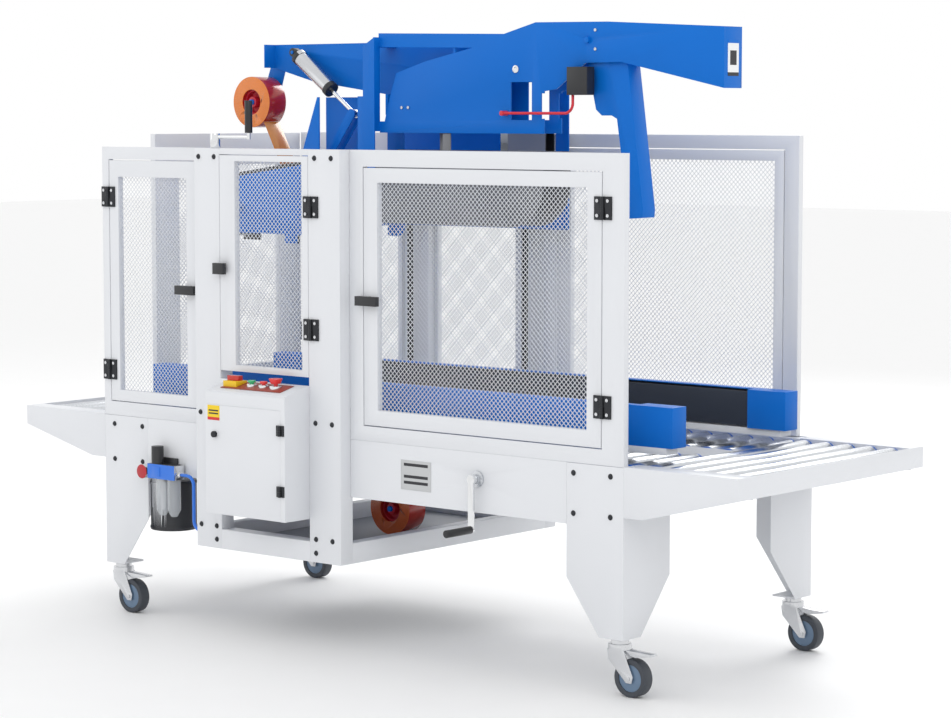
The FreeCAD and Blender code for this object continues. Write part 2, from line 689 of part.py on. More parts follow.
box_x = ("-box_left", "-box_right")
box_back = "(-tower_half - gap)"
profile = [
    ("-box_front", "box_low"), (box_back, "box_low"), (box_back, "box_back_top"), ("-box_front", "box_front_top"),
]
cavity = [
    ("-box_front - 1", "box_low + sheet_t"), (f"{box_back} - sheet_t", "box_low + sheet_t"),
    (f"{box_back} - sheet_t", "box_back_top - 5"), ("-box_front - 1", "box_front_top - 5"),
]
shell = plate("YZ", profile, "-box_left", "box_left - box_right")
room = plate("YZ", cavity, "-box_left + sheet_t", "box_left - box_right - 2 * sheet_t")
front = ("-box_front - 4", "-box_front + sheet_t")
hinge_strip = block(("-box_right - 18", "-box_right"), front, ("box_low", "box_front_top - 40"))
top_strip = block(box_x, front, ("box_front_top - 40", "box_front_top - 4"))
gland = rod("X", ("-box_left - 14", "-box_front + 40", 537), 14, 8)
node("control_box", fuse(cut(shell, room), hinge_strip, top_strip, gland))
HINGE_B = ("(-box_right - 16)", "-box_front - 4", ("626", "455"))
box_leaf = block(
    ("-box_left", "-box_right - 18 - gap"), ("-box_front - 4", "-box_front - gap"),
    ("box_low", "box_front_top - 40 - gap"))
lock = rod("Y", ("-box_left + 38", "-box_front - 12", "598"), 8, 9)
box_knuckles = []
for z in HINGE_B[2]:
    fixed_leaves.append(hinge_half(*HINGE_B[:2], z, 1, -1, True, 30, 14))
    box_knuckles.append(hinge_half(*HINGE_B[:2], z, -1, -1, False, 30, 14))
node("box_door", box_leaf, lock, *box_knuckles)
node("door_hinges", *fixed_leaves)

# Operating controls on the sloped top. Each stands on a flat ring that levels the slope.
panel_z = "(box_front_top + (box_back_top - box_front_top) * 0.62)"
CONTROLS = {
    "isolator": ("-343", "-521", 24), "start": ("-276", "-521", 11),
    "stop": ("-229", "-521", 11), "emergency": ("-182", "-521", 14),
}
rings = []
for name, (x, y, radius) in CONTROLS.items():
    if name == "isolator":
        base_block = block((f"{x} - 26", f"{x} + 26"), (f"{y} - 22", f"{y} + 22"), (f"{panel_z} - 14", f"{panel_z} + 12"))
        ring = cut(base_block, rod("Z", (x, y, f"{panel_z} - 20"), 40, 6.05))
    else:
        ring = tube("Z", (x, y, f"{panel_z} - 14"), 20, f"{radius} + 4", "6.05")
    rings.append(cut(ring, plate("YZ", [
        ("-box_front - 60", "box_low"), ("-tower_half + 60", "box_low"),
        ("-tower_half + 60", "box_back_top + (box_back_top - box_front_top) * 60 / 95 + gap"),
        ("-box_front - 60", "box_front_top - (box_back_top - box_front_top) * 60 / 95 + gap")],
        f"{x} - 40", "80")))
node("control_bezels", *rings)
iso_x, iso_y, _ = CONTROLS["isolator"]
node("isolator_knob", fuse(
    rod("Z", (iso_x, iso_y, f"{panel_z} + 5"), "7 + gap", 6),
    block((f"{iso_x} - 22", f"{iso_x} + 22"), (f"{iso_y} - 9", f"{iso_y} + 9"), (f"{panel_z} + 12 + gap", f"{panel_z} + 26"))))
# A stem ends above the sloped panel by more than its travel, so it clears the panel when pressed.
stem_low = f"({panel_z} + 4.5)"
for name in ("start", "stop"):
    x, y, radius = CONTROLS[name]
    node(f"{name}_button", fuse(
        rod("Z", (x, y, stem_low), 11.5, 6), rod("Z", (x, y, f"{panel_z} + 10.5"), 6, radius)))
x, y, radius = CONTROLS["emergency"]
node("emergency_button", fuse(
    rod("Z", (x, y, stem_low), 16.5, 6), cone("Z", (x, y, f"{panel_z} + 13"), 14, radius, 20)))

# ---------------------------------------------------------------- side belt units

belt_mid = "(belt_in + belt_loop_w / 2)"
unit_out = "(belt_in + belt_loop_w + 5)"
drum_r = "(belt_loop_w / 2 - belt_t - gap)"
drum_left = "(-belt_left + 38)"
drum_right = "(belt_right - 38)"
BRACKETS = ("-guide_x", "guide_x", "width_crank_x")


def stadium(left, right, y, half, low, high):
    """An upright block with round ends."""
    return fuse(
        block((left, right), (f"{y} - {half}", f"{y} + {half}"), (low, high)),
        rod("Z", (left, y, low), f"({high}) - ({low})", half),
        rod("Z", (right, y, low), f"({high}) - ({low})", half))


def belt_unit(name, side):
    """One side belt unit: covers, support rail with nuts and slides, belt loop and drums."""
    y = f"({side}) * {belt_mid}"
    covers = []
    for x, open_x in (
        (("belt_right - cover_len", "belt_right"), ("belt_right - cover_len", "belt_right - wall")),
        (("-belt_left", "-belt_left + cover_len"), ("-belt_left + wall", "-belt_left + cover_len")),
    ):
        shell = block(x, band(side, "belt_in - 6", unit_out), ("unit_low", "unit_high"))
        inner = block(open_x, band(side, "belt_in - 3", f"{unit_out} - wall"), ("unit_low", "unit_high - wall"))
        covers.append(cut(shell, inner))
    mid_x = ("-belt_left + cover_len", "belt_right - cover_len")
    covers.append(block(mid_x, band(side, f"{unit_out} - wall", unit_out), ("unit_low", "unit_high")))
    covers.append(block(mid_x, band(side, belt_mid, unit_out), ("unit_high - wall", "unit_high")))
    rail = block(
        ("-belt_left + 10", "belt_right - 20"), band(side, "belt_in + 3", unit_out),
        ("unit_low - unit_rail_t", "unit_low"))
    pieces = [rail]
    for x in BRACKETS:
        pieces.append(block(
            (f"{x} - 6", f"{x} + 6"), band(side, "belt_in + 3", unit_out),
            ("shaft_z - 18", "unit_low - unit_rail_t")))
        pieces.append(block(
            (f"{x} - 18", f"{x} + 18"), band(side, "belt_in + 3", unit_out), ("shaft_z - 18", "shaft_z + 16")))
    for x in (drum_left, drum_right):
        pieces.append(rod("Z", (x, y, "unit_low"), "belt_high - unit_low", 6))
    frame = fuse(*pieces)
    for x in BRACKETS:
        radius = "screw_r" if x == "width_crank_x" else "guide_r"
        frame = cut(frame, rod("Y", (x, f"{y} - 60", "shaft_z"), 120, f"{radius} + fit"))
    half = "(belt_loop_w / 2)"
    outer = stadium(drum_left, drum_right, y, half, "belt_low", "belt_high")
    inner = stadium(drum_left, drum_right, y, f"({half} - belt_t)", "belt_low", "belt_high")
    idle, drive = [
        tube("Z", (x, y, "belt_low"), "belt_high - belt_low", drum_r, "6 + fit") for x in (drum_right, drum_left)]
    node(f"{name}_belt_unit", fuse(*covers), frame, cut(outer, inner), idle)
    node(f"{name}_drive_drum", drive)


for name, side in SIDES:
    belt_unit(name, side)

shafts = []
hanger_in = f"({rail_out} - rail_w + 2)"
for x in ("-guide_x", "guide_x"):
    shafts.append(rod("Y", (x, f"-{hanger_in}", "shaft_z"), f"2 * {hanger_in}", "guide_r"))
    for _, side in SIDES:
        shafts.append(block(
            (f"{x} - 14", f"{x} + 14"), band(side, hanger_in, f"{rail_out} - 2"), ("shaft_z - 18", "rail_low")))
bearing = fuse(
    rod("Y", ("width_crank_x", "-side_half - 14", "shaft_z"), 22, "screw_r + 5"),
    rod("Y", ("width_crank_x", "-side_half - 5", "shaft_z"), 5, "screw_r + 14"))
shafts.append(cut(bearing, rod("Y", ("width_crank_x", "-side_half - 20", "shaft_z"), 80, "screw_r + fit")))
far_bearing = block(
    ("width_crank_x - 14", "width_crank_x + 14"), (hanger_in, f"{rail_out} - 2"), ("shaft_z - 18", "rail_low"))
shafts.append(cut(far_bearing, rod("Y", ("width_crank_x", f"{hanger_in} - 1", "shaft_z"), 20, "screw_r + fit")))
node("guide_shafts", *shafts)

# ---------------------------------------------------------------- cranks

arm_y = "(-side_half - 30)"
grip_z = "(shaft_z - crank_reach)"
node("width_crank", fuse(
    rod("Y", ("width_crank_x", arm_y, "shaft_z"), f"{hanger_in} + 15 - {arm_y}", "screw_r"),
    rod("Y", ("width_crank_x", arm_y, "shaft_z"), 14, 13),
    block(("width_crank_x - 9", "width_crank_x + 9"), (arm_y, f"{arm_y} + 8"), (grip_z, "shaft_z")),
    rod("Y", ("width_crank_x", arm_y, grip_z), 8, 9),
    rod("Y", ("width_crank_x", f"{arm_y} - 100", grip_z), 100, 10.5)))

arm_x = "(-crank_x + crank_reach)"
node("height_crank", fuse(
    rod("Z", ("-crank_x", "-crank_y", "base_top + gap"), "crank_arm_z + 8 - base_top - gap", "lift_r - 2"),
    rod("Z", ("-crank_x", "-crank_y", "guard_top + gap"), "crank_arm_z + 10 - guard_top - gap", 15),
    rod("X", ("-crank_x", "-crank_y", "crank_arm_z"), f"{arm_x} + crank_x", 5.5),
    rod("Z", (arm_x, "-crank_y", "crank_arm_z - 6"), 60, 5.5),
    rod("Z", (arm_x, "-crank_y", "crank_arm_z + 12"), 92, 11)))
for name, x in zip(("left", "right"), LIFT_X):
    node(f"lift_screw_{name}", rod("Z", (x, "lift_y", "base_top - 10 + gap"), "carriage_high - 4 - base_top + 10", "lift_r"))

# ---------------------------------------------------------------- casters


def caster(label, end, side):
    """A swivel caster that trails towards the infeed: fork with brake pedal, and wheel."""
    x = f"({end}) * (body_half - caster_inset)"
    y = f"({side}) * (side_half - caster_inset)"
    axle_x = f"({x} + caster_trail)"
    cheeks = []
    outline = [
        (f"{x} - 26", "wheel_r * 2 + 22"), (f"{x} + 26", "wheel_r * 2 + 22"),
        (f"{axle_x} + 13", "wheel_r + 6"), (f"{axle_x} + 9", "wheel_r - 12"),
        (f"{axle_x} - 9", "wheel_r - 12"), (f"{x} - 22", "wheel_r + 45"),
    ]
    for at in (f"{y} - wheel_w / 2 - 5", f"{y} + wheel_w / 2 + 2"):
        cheeks.append(plate("XZ", outline, at, "wall"))
    crown = rod("Z", (x, y, "wheel_r * 2 + 20"), 16, 31)
    race = rod("Z", (x, y, "wheel_r * 2 + 34"), "leg_low - gap - wheel_r * 2 - 34", 24)
    axle = rod("Y", (axle_x, f"{y} - wheel_w / 2 - 8", "wheel_r"), "wheel_w + 16", "axle_r")
    pedal = plate("XZ", [
        (f"{x} + 20", "wheel_r * 2 + 22"), (f"{x} + 20", "wheel_r * 2 + 14"), (f"{x} + 60", "wheel_r * 2 + 6"),
        (f"{x} + 110", "wheel_r * 2 + 14"), (f"{x} + 110", "wheel_r * 2 + 19")], f"{y} - 14", "28")
    node(f"caster_fork_{label}", fuse(*cheeks, crown, race, axle, pedal))
    tyre = tube("Y", (axle_x, f"{y} - wheel_w / 2", "wheel_r"), "wheel_w", "wheel_r", "hub_r")
    hub = tube("Y", (axle_x, f"{y} - wheel_w / 2 + 2", "wheel_r"), "wheel_w - 4", "hub_r", "axle_r + fit")
    node(f"caster_wheel_{label}", tyre, hub)


CASTERS = (("near_right", 1, -1), ("far_right", 1, 1), ("near_left", -1, -1), ("far_left", -1, 1))
for label, end, side in CASTERS:
    caster(label, end, side)

# ---------------------------------------------------------------- overhead head

near_plate = "(-head_half - head_t)"
plate_out = "(head_half + head_t)"
leg_out = "(head_half + 30)"
upper_edge = [("1003", "1734"), ("690", "1750"), ("617", "1754"), ("365", "1757"), ("251", "1727")]
lower_edge = [
    ("-219", "head_low"), ("396", "head_low"), ("396", "1566"), ("440", "1572"), ("542", "1643"), ("664", "1644"),
    ("1003", "1572"),
]
near_outline = lower_edge + upper_edge + [("-223", "1737")]
far_outline = lower_edge + upper_edge + [
    ("-223", "1737"), ("-260", "1712"), ("-723", "1712"), ("-723", "1642"), ("-560", "1600"), ("-260", "1560"),
]
cutout = block(("276", "352"), ("-60", "60"), ("1486", "1592"))
kick_bore = rod("Y", ("kick_x", "-60", "kick_z"), 120, "kick_pin_r + fit")
nose = block(("1003 - head_t", "1003"), ("-head_half", "head_half"), ("1572", "1733"))
spreaders = [
    block((x, f"{x} + 8"), ("-head_half", "head_half"), (low, high))
    for x, low, high in (("-200", "1500", "1560"), ("60", "1600", "1700"), ("360", "1640", "1720"))
]
boss = rod("Y", ("292", "-head_half", "1628"), "2 * head_half", 9)
leg_outline = [
    ("-262", "1700"), ("-262", "1554"), ("-283", "1554"), ("-283", "1140"), ("-217", "1140"), ("-217", "1725"),
]
near_bracket = [
    ("-449", "1552"), ("-441", "1552"), ("-441", "1398"), ("-430", "1140"), ("-540", "1140"), ("-507", "1398"),
]
far_bracket = [
    ("-529", "1552"), ("-335", "1552"), ("-370", "1398"), ("-430", "1140"), ("-540", "1140"), ("-529", "1398"),
]


def head_side(side, outline, bracket_outline, *extras):
    """One side of the head: its long plate, the leg's face with its flange, and the bracket below."""
    at = "head_half" if side > 0 else near_plate
    leg_at = f"{leg_out} - head_t" if side > 0 else f"-{leg_out}"
    bracket_at = f"{leg_out} - head_t - 3" if side > 0 else f"-{leg_out} + 3"
    joins = [
        block(("-223", "-217"), band(side, "head_half", leg_out), span) for span in (("1452", "1478"), ("1700", "1722"))]
    return cut(
        fuse(
            plate("XZ", outline, at, "head_t"), plate("XZ", leg_outline, leg_at, "head_t", ((3, 12), (4, 30))),
            plate("XZ", bracket_outline, bracket_at, "head_t"),
            block(("-221", "-217"), band(side, plate_out, leg_out), ("1452", "1725")),
            block(("-450", "-279"), band(side, f"{leg_out} - 15", f"{leg_out} - 2"), ("1330", "1380")),
            *joins, *extras),
        cutout, kick_bore, slot)


recess = plate(
    "XZ", [
        ("-230", "1697"), ("136", "1690"), ("-44", "1653"), ("-153", "1621"), ("-178", "1557"), ("-200", "1481"),
        ("-230", "1481"),
    ], f"{near_plate} - 1", "head_t + 2")
slot = block(("386", "397"), ("-60", "60"), ("1490", "1560"))
leg_webs = [
    block(("-262", "-223"), (f"-{leg_out} + head_t", "head_half"), ("1696", "1700")),
    block(("-283", "-217"), (f"-{leg_out} + head_t", f"{leg_out} - head_t"), ("1176", "1180")),
]
pin_reach = f"({leg_out} - head_t - 3)"
bracket_pins = [
    rod("Y", (x, f"-{pin_reach}", z), f"2 * {pin_reach}", "pin_r")
    for x, z in (("-lever_x", "lever_z"), ("-522", "1180"), ("-515", "1270"))
]
tail_flange = block(("-723", "-719"), ("head_half - 44", plate_out), ("1642", "1712"))
tail_pin = rod("Y", ("-tail_pin_x", "-14", "tail_pin_z"), f"14 + {plate_out}", "pin_r")
roll_arm = plate("XZ", [
    ("-roll_x + 30", "1700"), ("-roll_x + 90", "1700"), ("-roll_x + 30", "roll_z - 20"), ("-roll_x - 22", "roll_z - 20"),
    ("-roll_x - 22", "roll_z + 30")], plate_out, "head_t", ((3, 10),))
spindle = rod("Y", ("-roll_x", "-tape_w / 2 - 4", "roll_z"), f"tape_w / 2 + 4 + {plate_out} + head_t", 8)
node(
    "head_plates", cut(head_side(-1, near_outline, near_bracket), recess),
    head_side(1, far_outline, far_bracket, tail_flange, tail_pin, roll_arm, spindle), nose, boss, *spreaders, *leg_webs, *bracket_pins)

beam_x = ("-600", "158")
beam_y = ("carriage_in - 46", "carriage_in")
carriages = []
for x, back in zip(LIFT_X, (18, 45)):
    span = (f"{x} - {back}", f"{x} - {back} + carriage_w")
    high = ("carriage_low", "carriage_high")
    pad = (f"{x} - 18", f"{x} + 40")
    body = fuse(
        hollow(span, ("carriage_in", "carriage_out"), high, "X", 4),
        block(pad, ("carriage_out - 1", f"{post_in} - gap"), ("carriage_low", "carriage_low + 80")),
        block(pad, ("carriage_out - 1", f"{post_in} - gap"), ("carriage_high - 80", "carriage_high")))
    carriages.append(cut(body, rod("Z", (x, "lift_y", "carriage_low - 1"), "carriage_high - carriage_low + 2", "lift_r + fit")))
beam = hollow(beam_x, beam_y, ("beam_high - 100", "beam_high"), "X")
arms = [
    hollow(x, (plate_out, "carriage_in - 46"), ("beam_high - 96", "beam_high - 10"), "Y")
    for x in (("-180", "-100"), ("60", "140"))]
column = block(("110", "158"), ("carriage_in - 4", "carriage_in"), ("1160", "beam_high - 98"))
lower_plate = block(("-560", "158"), ("carriage_in - 4", "carriage_in"), ("1160", "1290"))
seat = block(("-560", "-105"), ("carriage_in - 4", "carriage_in"), ("1290", "beam_high - 98"))
node("head_carriage", fuse(*carriages, beam, *arms, column, lower_plate, seat))

wing_corner = ((1, 118), (0, 15))
flaps = []
for (_, side), strap_x in zip(SIDES, (("20", "50"), ("-52", "-22"))):
    at = f"({side}) * 61.5 - 1.5"
    outline = [("-241", "1185"), ("409", "1185"), ("409", "1398"), ("-241", "1398")]
    sheet_part = plate("XZ", outline, at, 3, wing_corner)
    floor = block(("-190", "380"), band(side, "head_half - 3", 63), ("1395", "1398"))
    strap = block(strap_x, band(side, "head_half - 3", "head_half"), ("1395", "1480"))
    flaps.append(fuse(sheet_part, floor, strap))
node("flap_wings", *flaps)

kick_outline = [
    ("515", "1730"), ("590", "1735"), ("677", "1632"), ("730", "1244"), ("728", "1222"), ("682", "1219"),
    ("640", "1490"), ("622", "1499"), ("588", "1499"), ("568", "1515"), ("537", "1645"),
]
hollow_outline = [(f"{x} - 3", z) for x, z in kick_outline]
channel = cut(
    plate("XZ", kick_outline, "-kick_half", "2 * kick_half"),
    plate("XZ", hollow_outline, "-kick_half + wall", "2 * (kick_half - wall)"))
node("kicker_arm", fuse(
    channel, rod("Y", ("kick_x", "-kick_half", "kick_z"), "2 * kick_half", "kick_pin_r + 6"),
    rod("Y", ("kick_x", f"{near_plate} - 8", "kick_z"), f"2 * ({plate_out} + 8)", "kick_pin_r")))

# Press cylinder: it leans from its pivot on the tail plate down to the lever.
reach = "sqrt((tail_pin_x - rod_end_x) ^ 2 + (tail_pin_z - rod_end_z) ^ 2)"


def slanted(start, length, radius):
    """A round bar on the cylinder's own axis, from a distance along it."""
    bar = doc.addObject("Part::Cylinder", "rod")
    bar.Placement = FreeCAD.Placement(FreeCAD.Vector(), FreeCAD.Rotation(FreeCAD.Vector(0, 1, 0), 120))
    bind(bar, "Radius", radius)
    bind(bar, "Height", length)
    bind(bar, "Placement.Rotation.Angle", "atan2(tail_pin_x - rod_end_x; rod_end_z - tail_pin_z)")
    share = f"({start}) / {reach}"
    return put(
        bar, f"-tail_pin_x + (tail_pin_x - rod_end_x) * {share}", 0,
        f"tail_pin_z - (tail_pin_z - rod_end_z) * {share}")


tail_eye = rod("Y", ("-tail_pin_x", -11, "tail_pin_z"), 22, "pin_r + 8")
barrel = fuse(
    slanted(20, "cyl_len - 20", "cyl_r"), slanted(18, 14, "cyl_r + 2"), slanted("cyl_len - 16", 16, "cyl_r + 2"),
    slanted(4, 20, 9), tail_eye)
node("press_cylinder", cut(
    barrel, slanted(40, "cyl_len - 60", "cyl_r - 3"), slanted(100, "cyl_len", "rod_r + fit"),
    rod("Y", ("-tail_pin_x", -12, "tail_pin_z"), 24, "pin_r + fit")))
rod_eye = rod("Y", ("-rod_end_x", -10, "rod_end_z"), 20, "pin_r + 9")
piston = fuse(slanted(104, f"{reach} - 110", "rod_r"), slanted(104, 10, "cyl_r - 3.3"), rod_eye)
node("press_rod", cut(piston, rod("Y", ("-rod_end_x", -12, "rod_end_z"), 24, "pin_r + 3")))

lean = "(lever_x - rod_end_x)"
rise = "(rod_end_z - lever_z)"
lever_len = f"sqrt({lean} ^ 2 + {rise} ^ 2)"
across = f"15 * {rise} / {lever_len}"
down = f"15 * {lean} / {lever_len}"
lever_outline = [
    (f"-lever_x - {across}", f"lever_z + {down}"), (f"-rod_end_x - {across}", f"rod_end_z + {down}"),
    (f"-rod_end_x + {across}", f"rod_end_z - {down}"), (f"-lever_x + {across}", f"lever_z - {down}"),
]
lever_plates = []
for at in ("-18", "14"):
    lever_plates.append(plate("XZ", lever_outline, at, 4))
    for x, z in (("-lever_x", "lever_z"), ("-rod_end_x", "rod_end_z")):
        lever_plates.append(rod("Y", (x, at, z), 4, 15))
lever = fuse(
    *lever_plates, rod("Y", ("-lever_x", -18, "lever_z"), 36, "pin_r + 8"),
    rod("Y", ("-rod_end_x", -18, "rod_end_z"), 36, "pin_r"))
node("press_lever", cut(lever, rod("Y", ("-lever_x", -20, "lever_z"), 40, "pin_r + fit")))

HOSE_R = 4


def bend(centre, radius, tube_r, start):
    """A quarter turn of hose in an upright plane along X; start is its first angle from +X to +Z."""
    arc = doc.addObject("Part::Torus", "bend")
    turn = FreeCAD.Rotation(FreeCAD.Vector(0, -1, 0), start)
    arc.Placement = FreeCAD.Placement(FreeCAD.Vector(), turn * FreeCAD.Rotation(FreeCAD.Vector(1, 0, 0), 90))
    bind(arc, "Radius1", radius)
    bind(arc, "Radius2", tube_r)
    arc.Angle3 = 90
    return put(arc, *centre)


valve_y = f"({near_plate} - 20)"
valve = block(("502", "572"), (f"{near_plate} - 34", near_plate), ("1555", "1632"))
hose_z = "1505"
hose = fuse(
    rod("X", ("262", valve_y, hose_z), "485 - 262", HOSE_R), bend(("485", valve_y, f"{hose_z} + 28"), 28, HOSE_R, 270),
    rod("Z", ("513", valve_y, f"{hose_z} + 28"), "1555 - 1505 - 28", HOSE_R),
    rod("Y", ("262", f"{valve_y} - 5", hose_z), f"{near_plate} - {valve_y} + 5", 7))
node("head_valve", valve, hose)

# ---------------------------------------------------------------- taping heads


def spool(name, x, z):
    """A roll of tape on its hub: the wound tape, the core and the hub."""
    low = "-tape_w / 2"
    tape = tube("Y", (x, low, z), "tape_w", "roll_r", "core_r")
    core = tube("Y", (x, low, z), "tape_w", "core_r", "core_in")
    hub = fuse(
        tube("Y", (x, f"{low} + 12", z), "tape_w - 24", "core_in", "core_in - 5"),
        rod("Y", (x, f"{low} + 30", z), 8, "core_in - 4"), rod("Y", (x, f"{low} + 4", z), "tape_w - 8", 16))
    node(name, tape, core, cut(hub, rod("Y", (x, f"{low} - 1", z), "tape_w + 2", "8 + fit")))


side_outline = [
    ("-tape_left", "tape_low"), ("-tape_right", "tape_low"), ("-tape_right", "tape_low + 213"),
    ("-tape_left", "tape_low + 161"),
]
rail_outline = [
    ("-tape_left - 6", "tape_low + 160"), ("-tape_right", "tape_low + 213"), ("-tape_right", "tape_low + 227"),
    ("-tape_left - 6", "tape_low + 174"),
]
ARM_PIVOT = ("-620", "1215")
TAPE_PINS = (("-522", "1180"), ("-515", "1270"))
inside = "(tape_half - 4)"
upper_head = []
for _, side in SIDES:
    at = "-tape_half" if side < 0 else inside
    plates = [plate("XZ", side_outline, at, 4, ((0, 14), (1, 10)))]
    for x in (("-tape_left + 12", "-tape_left + 80"), ("-tape_right - 90", "-tape_right - 36")):
        plates.append(block(x, band(side, "tape_half - 10", "tape_half"), ("tape_low - 26", "tape_low + 2")))
    for x, z in TAPE_PINS:
        low, _ = band(side, inside, f"{leg_out} - head_t - 3")
        plates.append(rod("Y", (x, low, z), f"{leg_out} - head_t - 3 - {inside}", 12))
    if side < 0:
        plates.append(rod("Y", ("-778", "-tape_half - 26", "1222"), 27, 13))
    upper_head.append(cut(
        fuse(*plates), *[rod("Y", (x, f"-{leg_out}", z), f"2 * {leg_out}", "pin_r + fit") for x, z in TAPE_PINS]))
rail = plate("XZ", rail_outline, "-26", "52")
for x, z in (
    ("-tape_left + 60", "tape_low + 163"), ("-tape_right - 40", "tape_low + 60"), ("-tape_right - 60", "tape_low + 198"),
    ARM_PIVOT,
):
    tie = rod("Y", (x, f"-{inside}", z), f"2 * {inside}", 6)
    upper_head.append(cut(tie, rail))
upper_head.append(rail)
web = plate("XZ", [
    ("-roll_x + 50", "roll_z - 59.6"), ("-roll_x + 119", "roll_z - 188.2"), ("-roll_x + 120", "roll_z - 188.2"),
    ("-roll_x + 51", "roll_z - 59.6")], "-tape_w / 2 + 2", "tape_w - 4")
node("upper_tape_head", *upper_head, web)

arm_outline = [
    (f"{ARM_PIVOT[0]} + 12", f"{ARM_PIVOT[1]} + 14"), (f"{ARM_PIVOT[0]} - 10", f"{ARM_PIVOT[1]} + 14"),
    ("-850", "1164"), ("-850", "1138"), (f"{ARM_PIVOT[0]} + 12", f"{ARM_PIVOT[1]} - 14"),
]
arm_parts = [plate("XZ", arm_outline, at, 4) for at in ("-44", "40")]
arm_parts.append(rod("Y", ("-838", "-40", "1151"), 80, 23))
arm_parts.append(rod("Y", (ARM_PIVOT[0], "-44", ARM_PIVOT[1]), 88, 11))
node("upper_tape_arm", cut(fuse(*arm_parts), rod("Y", (ARM_PIVOT[0], "-46", ARM_PIVOT[1]), 92, "6 + fit")))
spool("upper_tape_roll", "-roll_x", "roll_z")
spool("lower_tape_roll", "-low_roll_x", "low_roll_z")

lower_head = []
low_z = ("low_roll_z + roll_r + 4", "panel_top - 6")
for _, side in SIDES:
    plates = [block(("-low_left", "-low_right"), band(side, inside, "tape_half"), low_z)]
    for x in (("-low_left + 10", "-low_left + 40"), ("-low_right - 40", "-low_right - 10")):
        plates.append(block(x, band(side, "tape_half - 2", "slot_half"), ("rail_low + 5", "rail_low + 30")))
    if side > 0:
        hanger_x = ("-low_roll_x - 20", "-low_roll_x + 20")
        plates.append(block(hanger_x, ("tape_w / 2 + 6", "tape_half"), ("low_roll_z + roll_r + 6", "445")))
        plates.append(block(hanger_x, ("tape_w / 2 + 6", "tape_w / 2 + 10"), ("low_roll_z - 16", "445")))
        plates.append(rod("Y", ("-low_roll_x", "-tape_w / 2 - 4", "low_roll_z"), "tape_w + 12", 8))
    lower_head.append(fuse(*plates))
for x, z, radius in (
    ("-low_left + 40", "panel_top - 20", 24), ("-low_right - 40", "panel_top - 20", 24),
    ("-low_left + 120", "470", 10), ("-low_right - 120", "470", 10), ("-low_right - 60", "540", 10),
):
    lower_head.append(rod("Y", (x, f"-{inside}", z), f"2 * {inside}", radius))
node("lower_tape_head", *lower_head)

# ---------------------------------------------------------------- air preparation

strap_z = ("392", "body_low")
drum = rod("Z", ("-tank_x", "-tank_y", "262"), 148, "tank_r")
rims = [tube("Z", ("-tank_x", "-tank_y", z), 6, "tank_r + 2", "tank_r - 1") for z in ("266", "400")]
hanger = [
    block(("-tank_x - 25", "-tank_x + 25"), ("-side_half + sheet_t", "-side_half + 25"), ("body_low - 3", "body_low")),
    block(("-tank_x - 25", "-tank_x + 25"), ("-side_half + 22", "-side_half + 25"), ("330", "body_low")),
]
node("air_tank", fuse(drum, *rims, *hanger))

unit_body = block(("-air_x - 24", "-air_x + 90"), ("-side_half - 47", "-side_half - 6"), ("431", "474"))
mount = block(("-air_x - 10", "-air_x + 60"), ("-side_half - 6", "-side_half"), ("440", "490"))
knob = rod("Z", ("-air_x - 2", "-air_y + 2", "474"), 51, 18)
square = block(("-air_x", "-air_x + 30"), ("-side_half - 49", "-side_half - 46"), ("438", "466"))
gauge = [
    rod("Y", ("-air_x - 52", "-side_half - 44", "447"), 22, 21), rod("X", ("-air_x - 40", "-side_half - 30", "447"), 20, 7)]
bowls = [
    fuse(rod("Z", (x, "-air_y + 2", "341"), 90, 20), cone("Z", (x, "-air_y + 2", "321"), 20, 10, 20))
    for x in ("-air_x + 19", "-air_x + 67")]
outlet = rod("X", ("-air_x + 88", "-air_y + 2", "447"), 12, 9)
node("air_unit", fuse(unit_body, mount, knob, square, *gauge, outlet), *bowls)

hose_x = "(-tower_left - 28)"
hose_y = "(-air_y + 2)"
start_x = "(-air_x + 100)"
air_hose = fuse(
    rod("X", (start_x, hose_y, "447"), f"{hose_x} - 28 - {start_x}", 5), bend((f"{hose_x} - 28", hose_y, "447 - 28"), 28, 5, 0),
    rod("Z", (hose_x, hose_y, "318"), "447 - 28 - 318", 5), bend((f"{hose_x} + 28 - 0.5", hose_y, "318"), "28 - 0.5", 5, 180))
node("air_hose", air_hose)

# ---------------------------------------------------------------- bolts

bolts = []
POST_BOLTS = (
    ("-526", ("1381", "642", "314")), ("-463", ("1381", "642", "314", "275")),
    ("-68", ("1381", "642", "314", "275")), ("-5", ("1381", "642", "314")),
)
for x, heights in POST_BOLTS:
    for z in heights:
        bolts.append(dome(x, "-tower_half", z))
        bolts.append(dome(x, "tower_half", z, 1))
for x, z in (("816", "574"), ("816", "468"), ("937", "574"), ("937", "468")):
    for sign in ("", "-"):
        bolts.append(dome(f"{sign}{x}", "-side_half", z))
        bolts.append(dome(f"{sign}{x}", "side_half", z, 1))
node("frame_bolts", *bolts)

# ---------------------------------------------------------------- checks and export

doc.recompute()
for thing in doc.Objects:
    if "Invalid" in thing.State or "Error" in thing.State:
        raise RuntimeError(f"{thing.Name}: {thing.State}")
os.makedirs("parts", exist_ok=True)
for group in NODES:
    if group.Shape.isNull() or not group.Shape.isValid():
        raise RuntimeError(f"{group.Label} has a bad shape")
    group.Shape.exportStep(f"parts/{group.Label}.step")
print(len(NODES), "nodes")
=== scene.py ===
"""Looks of a side-belt carton sealer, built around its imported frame."""
import json
import logging
import math
from dataclasses import dataclass, field
from enum import Enum

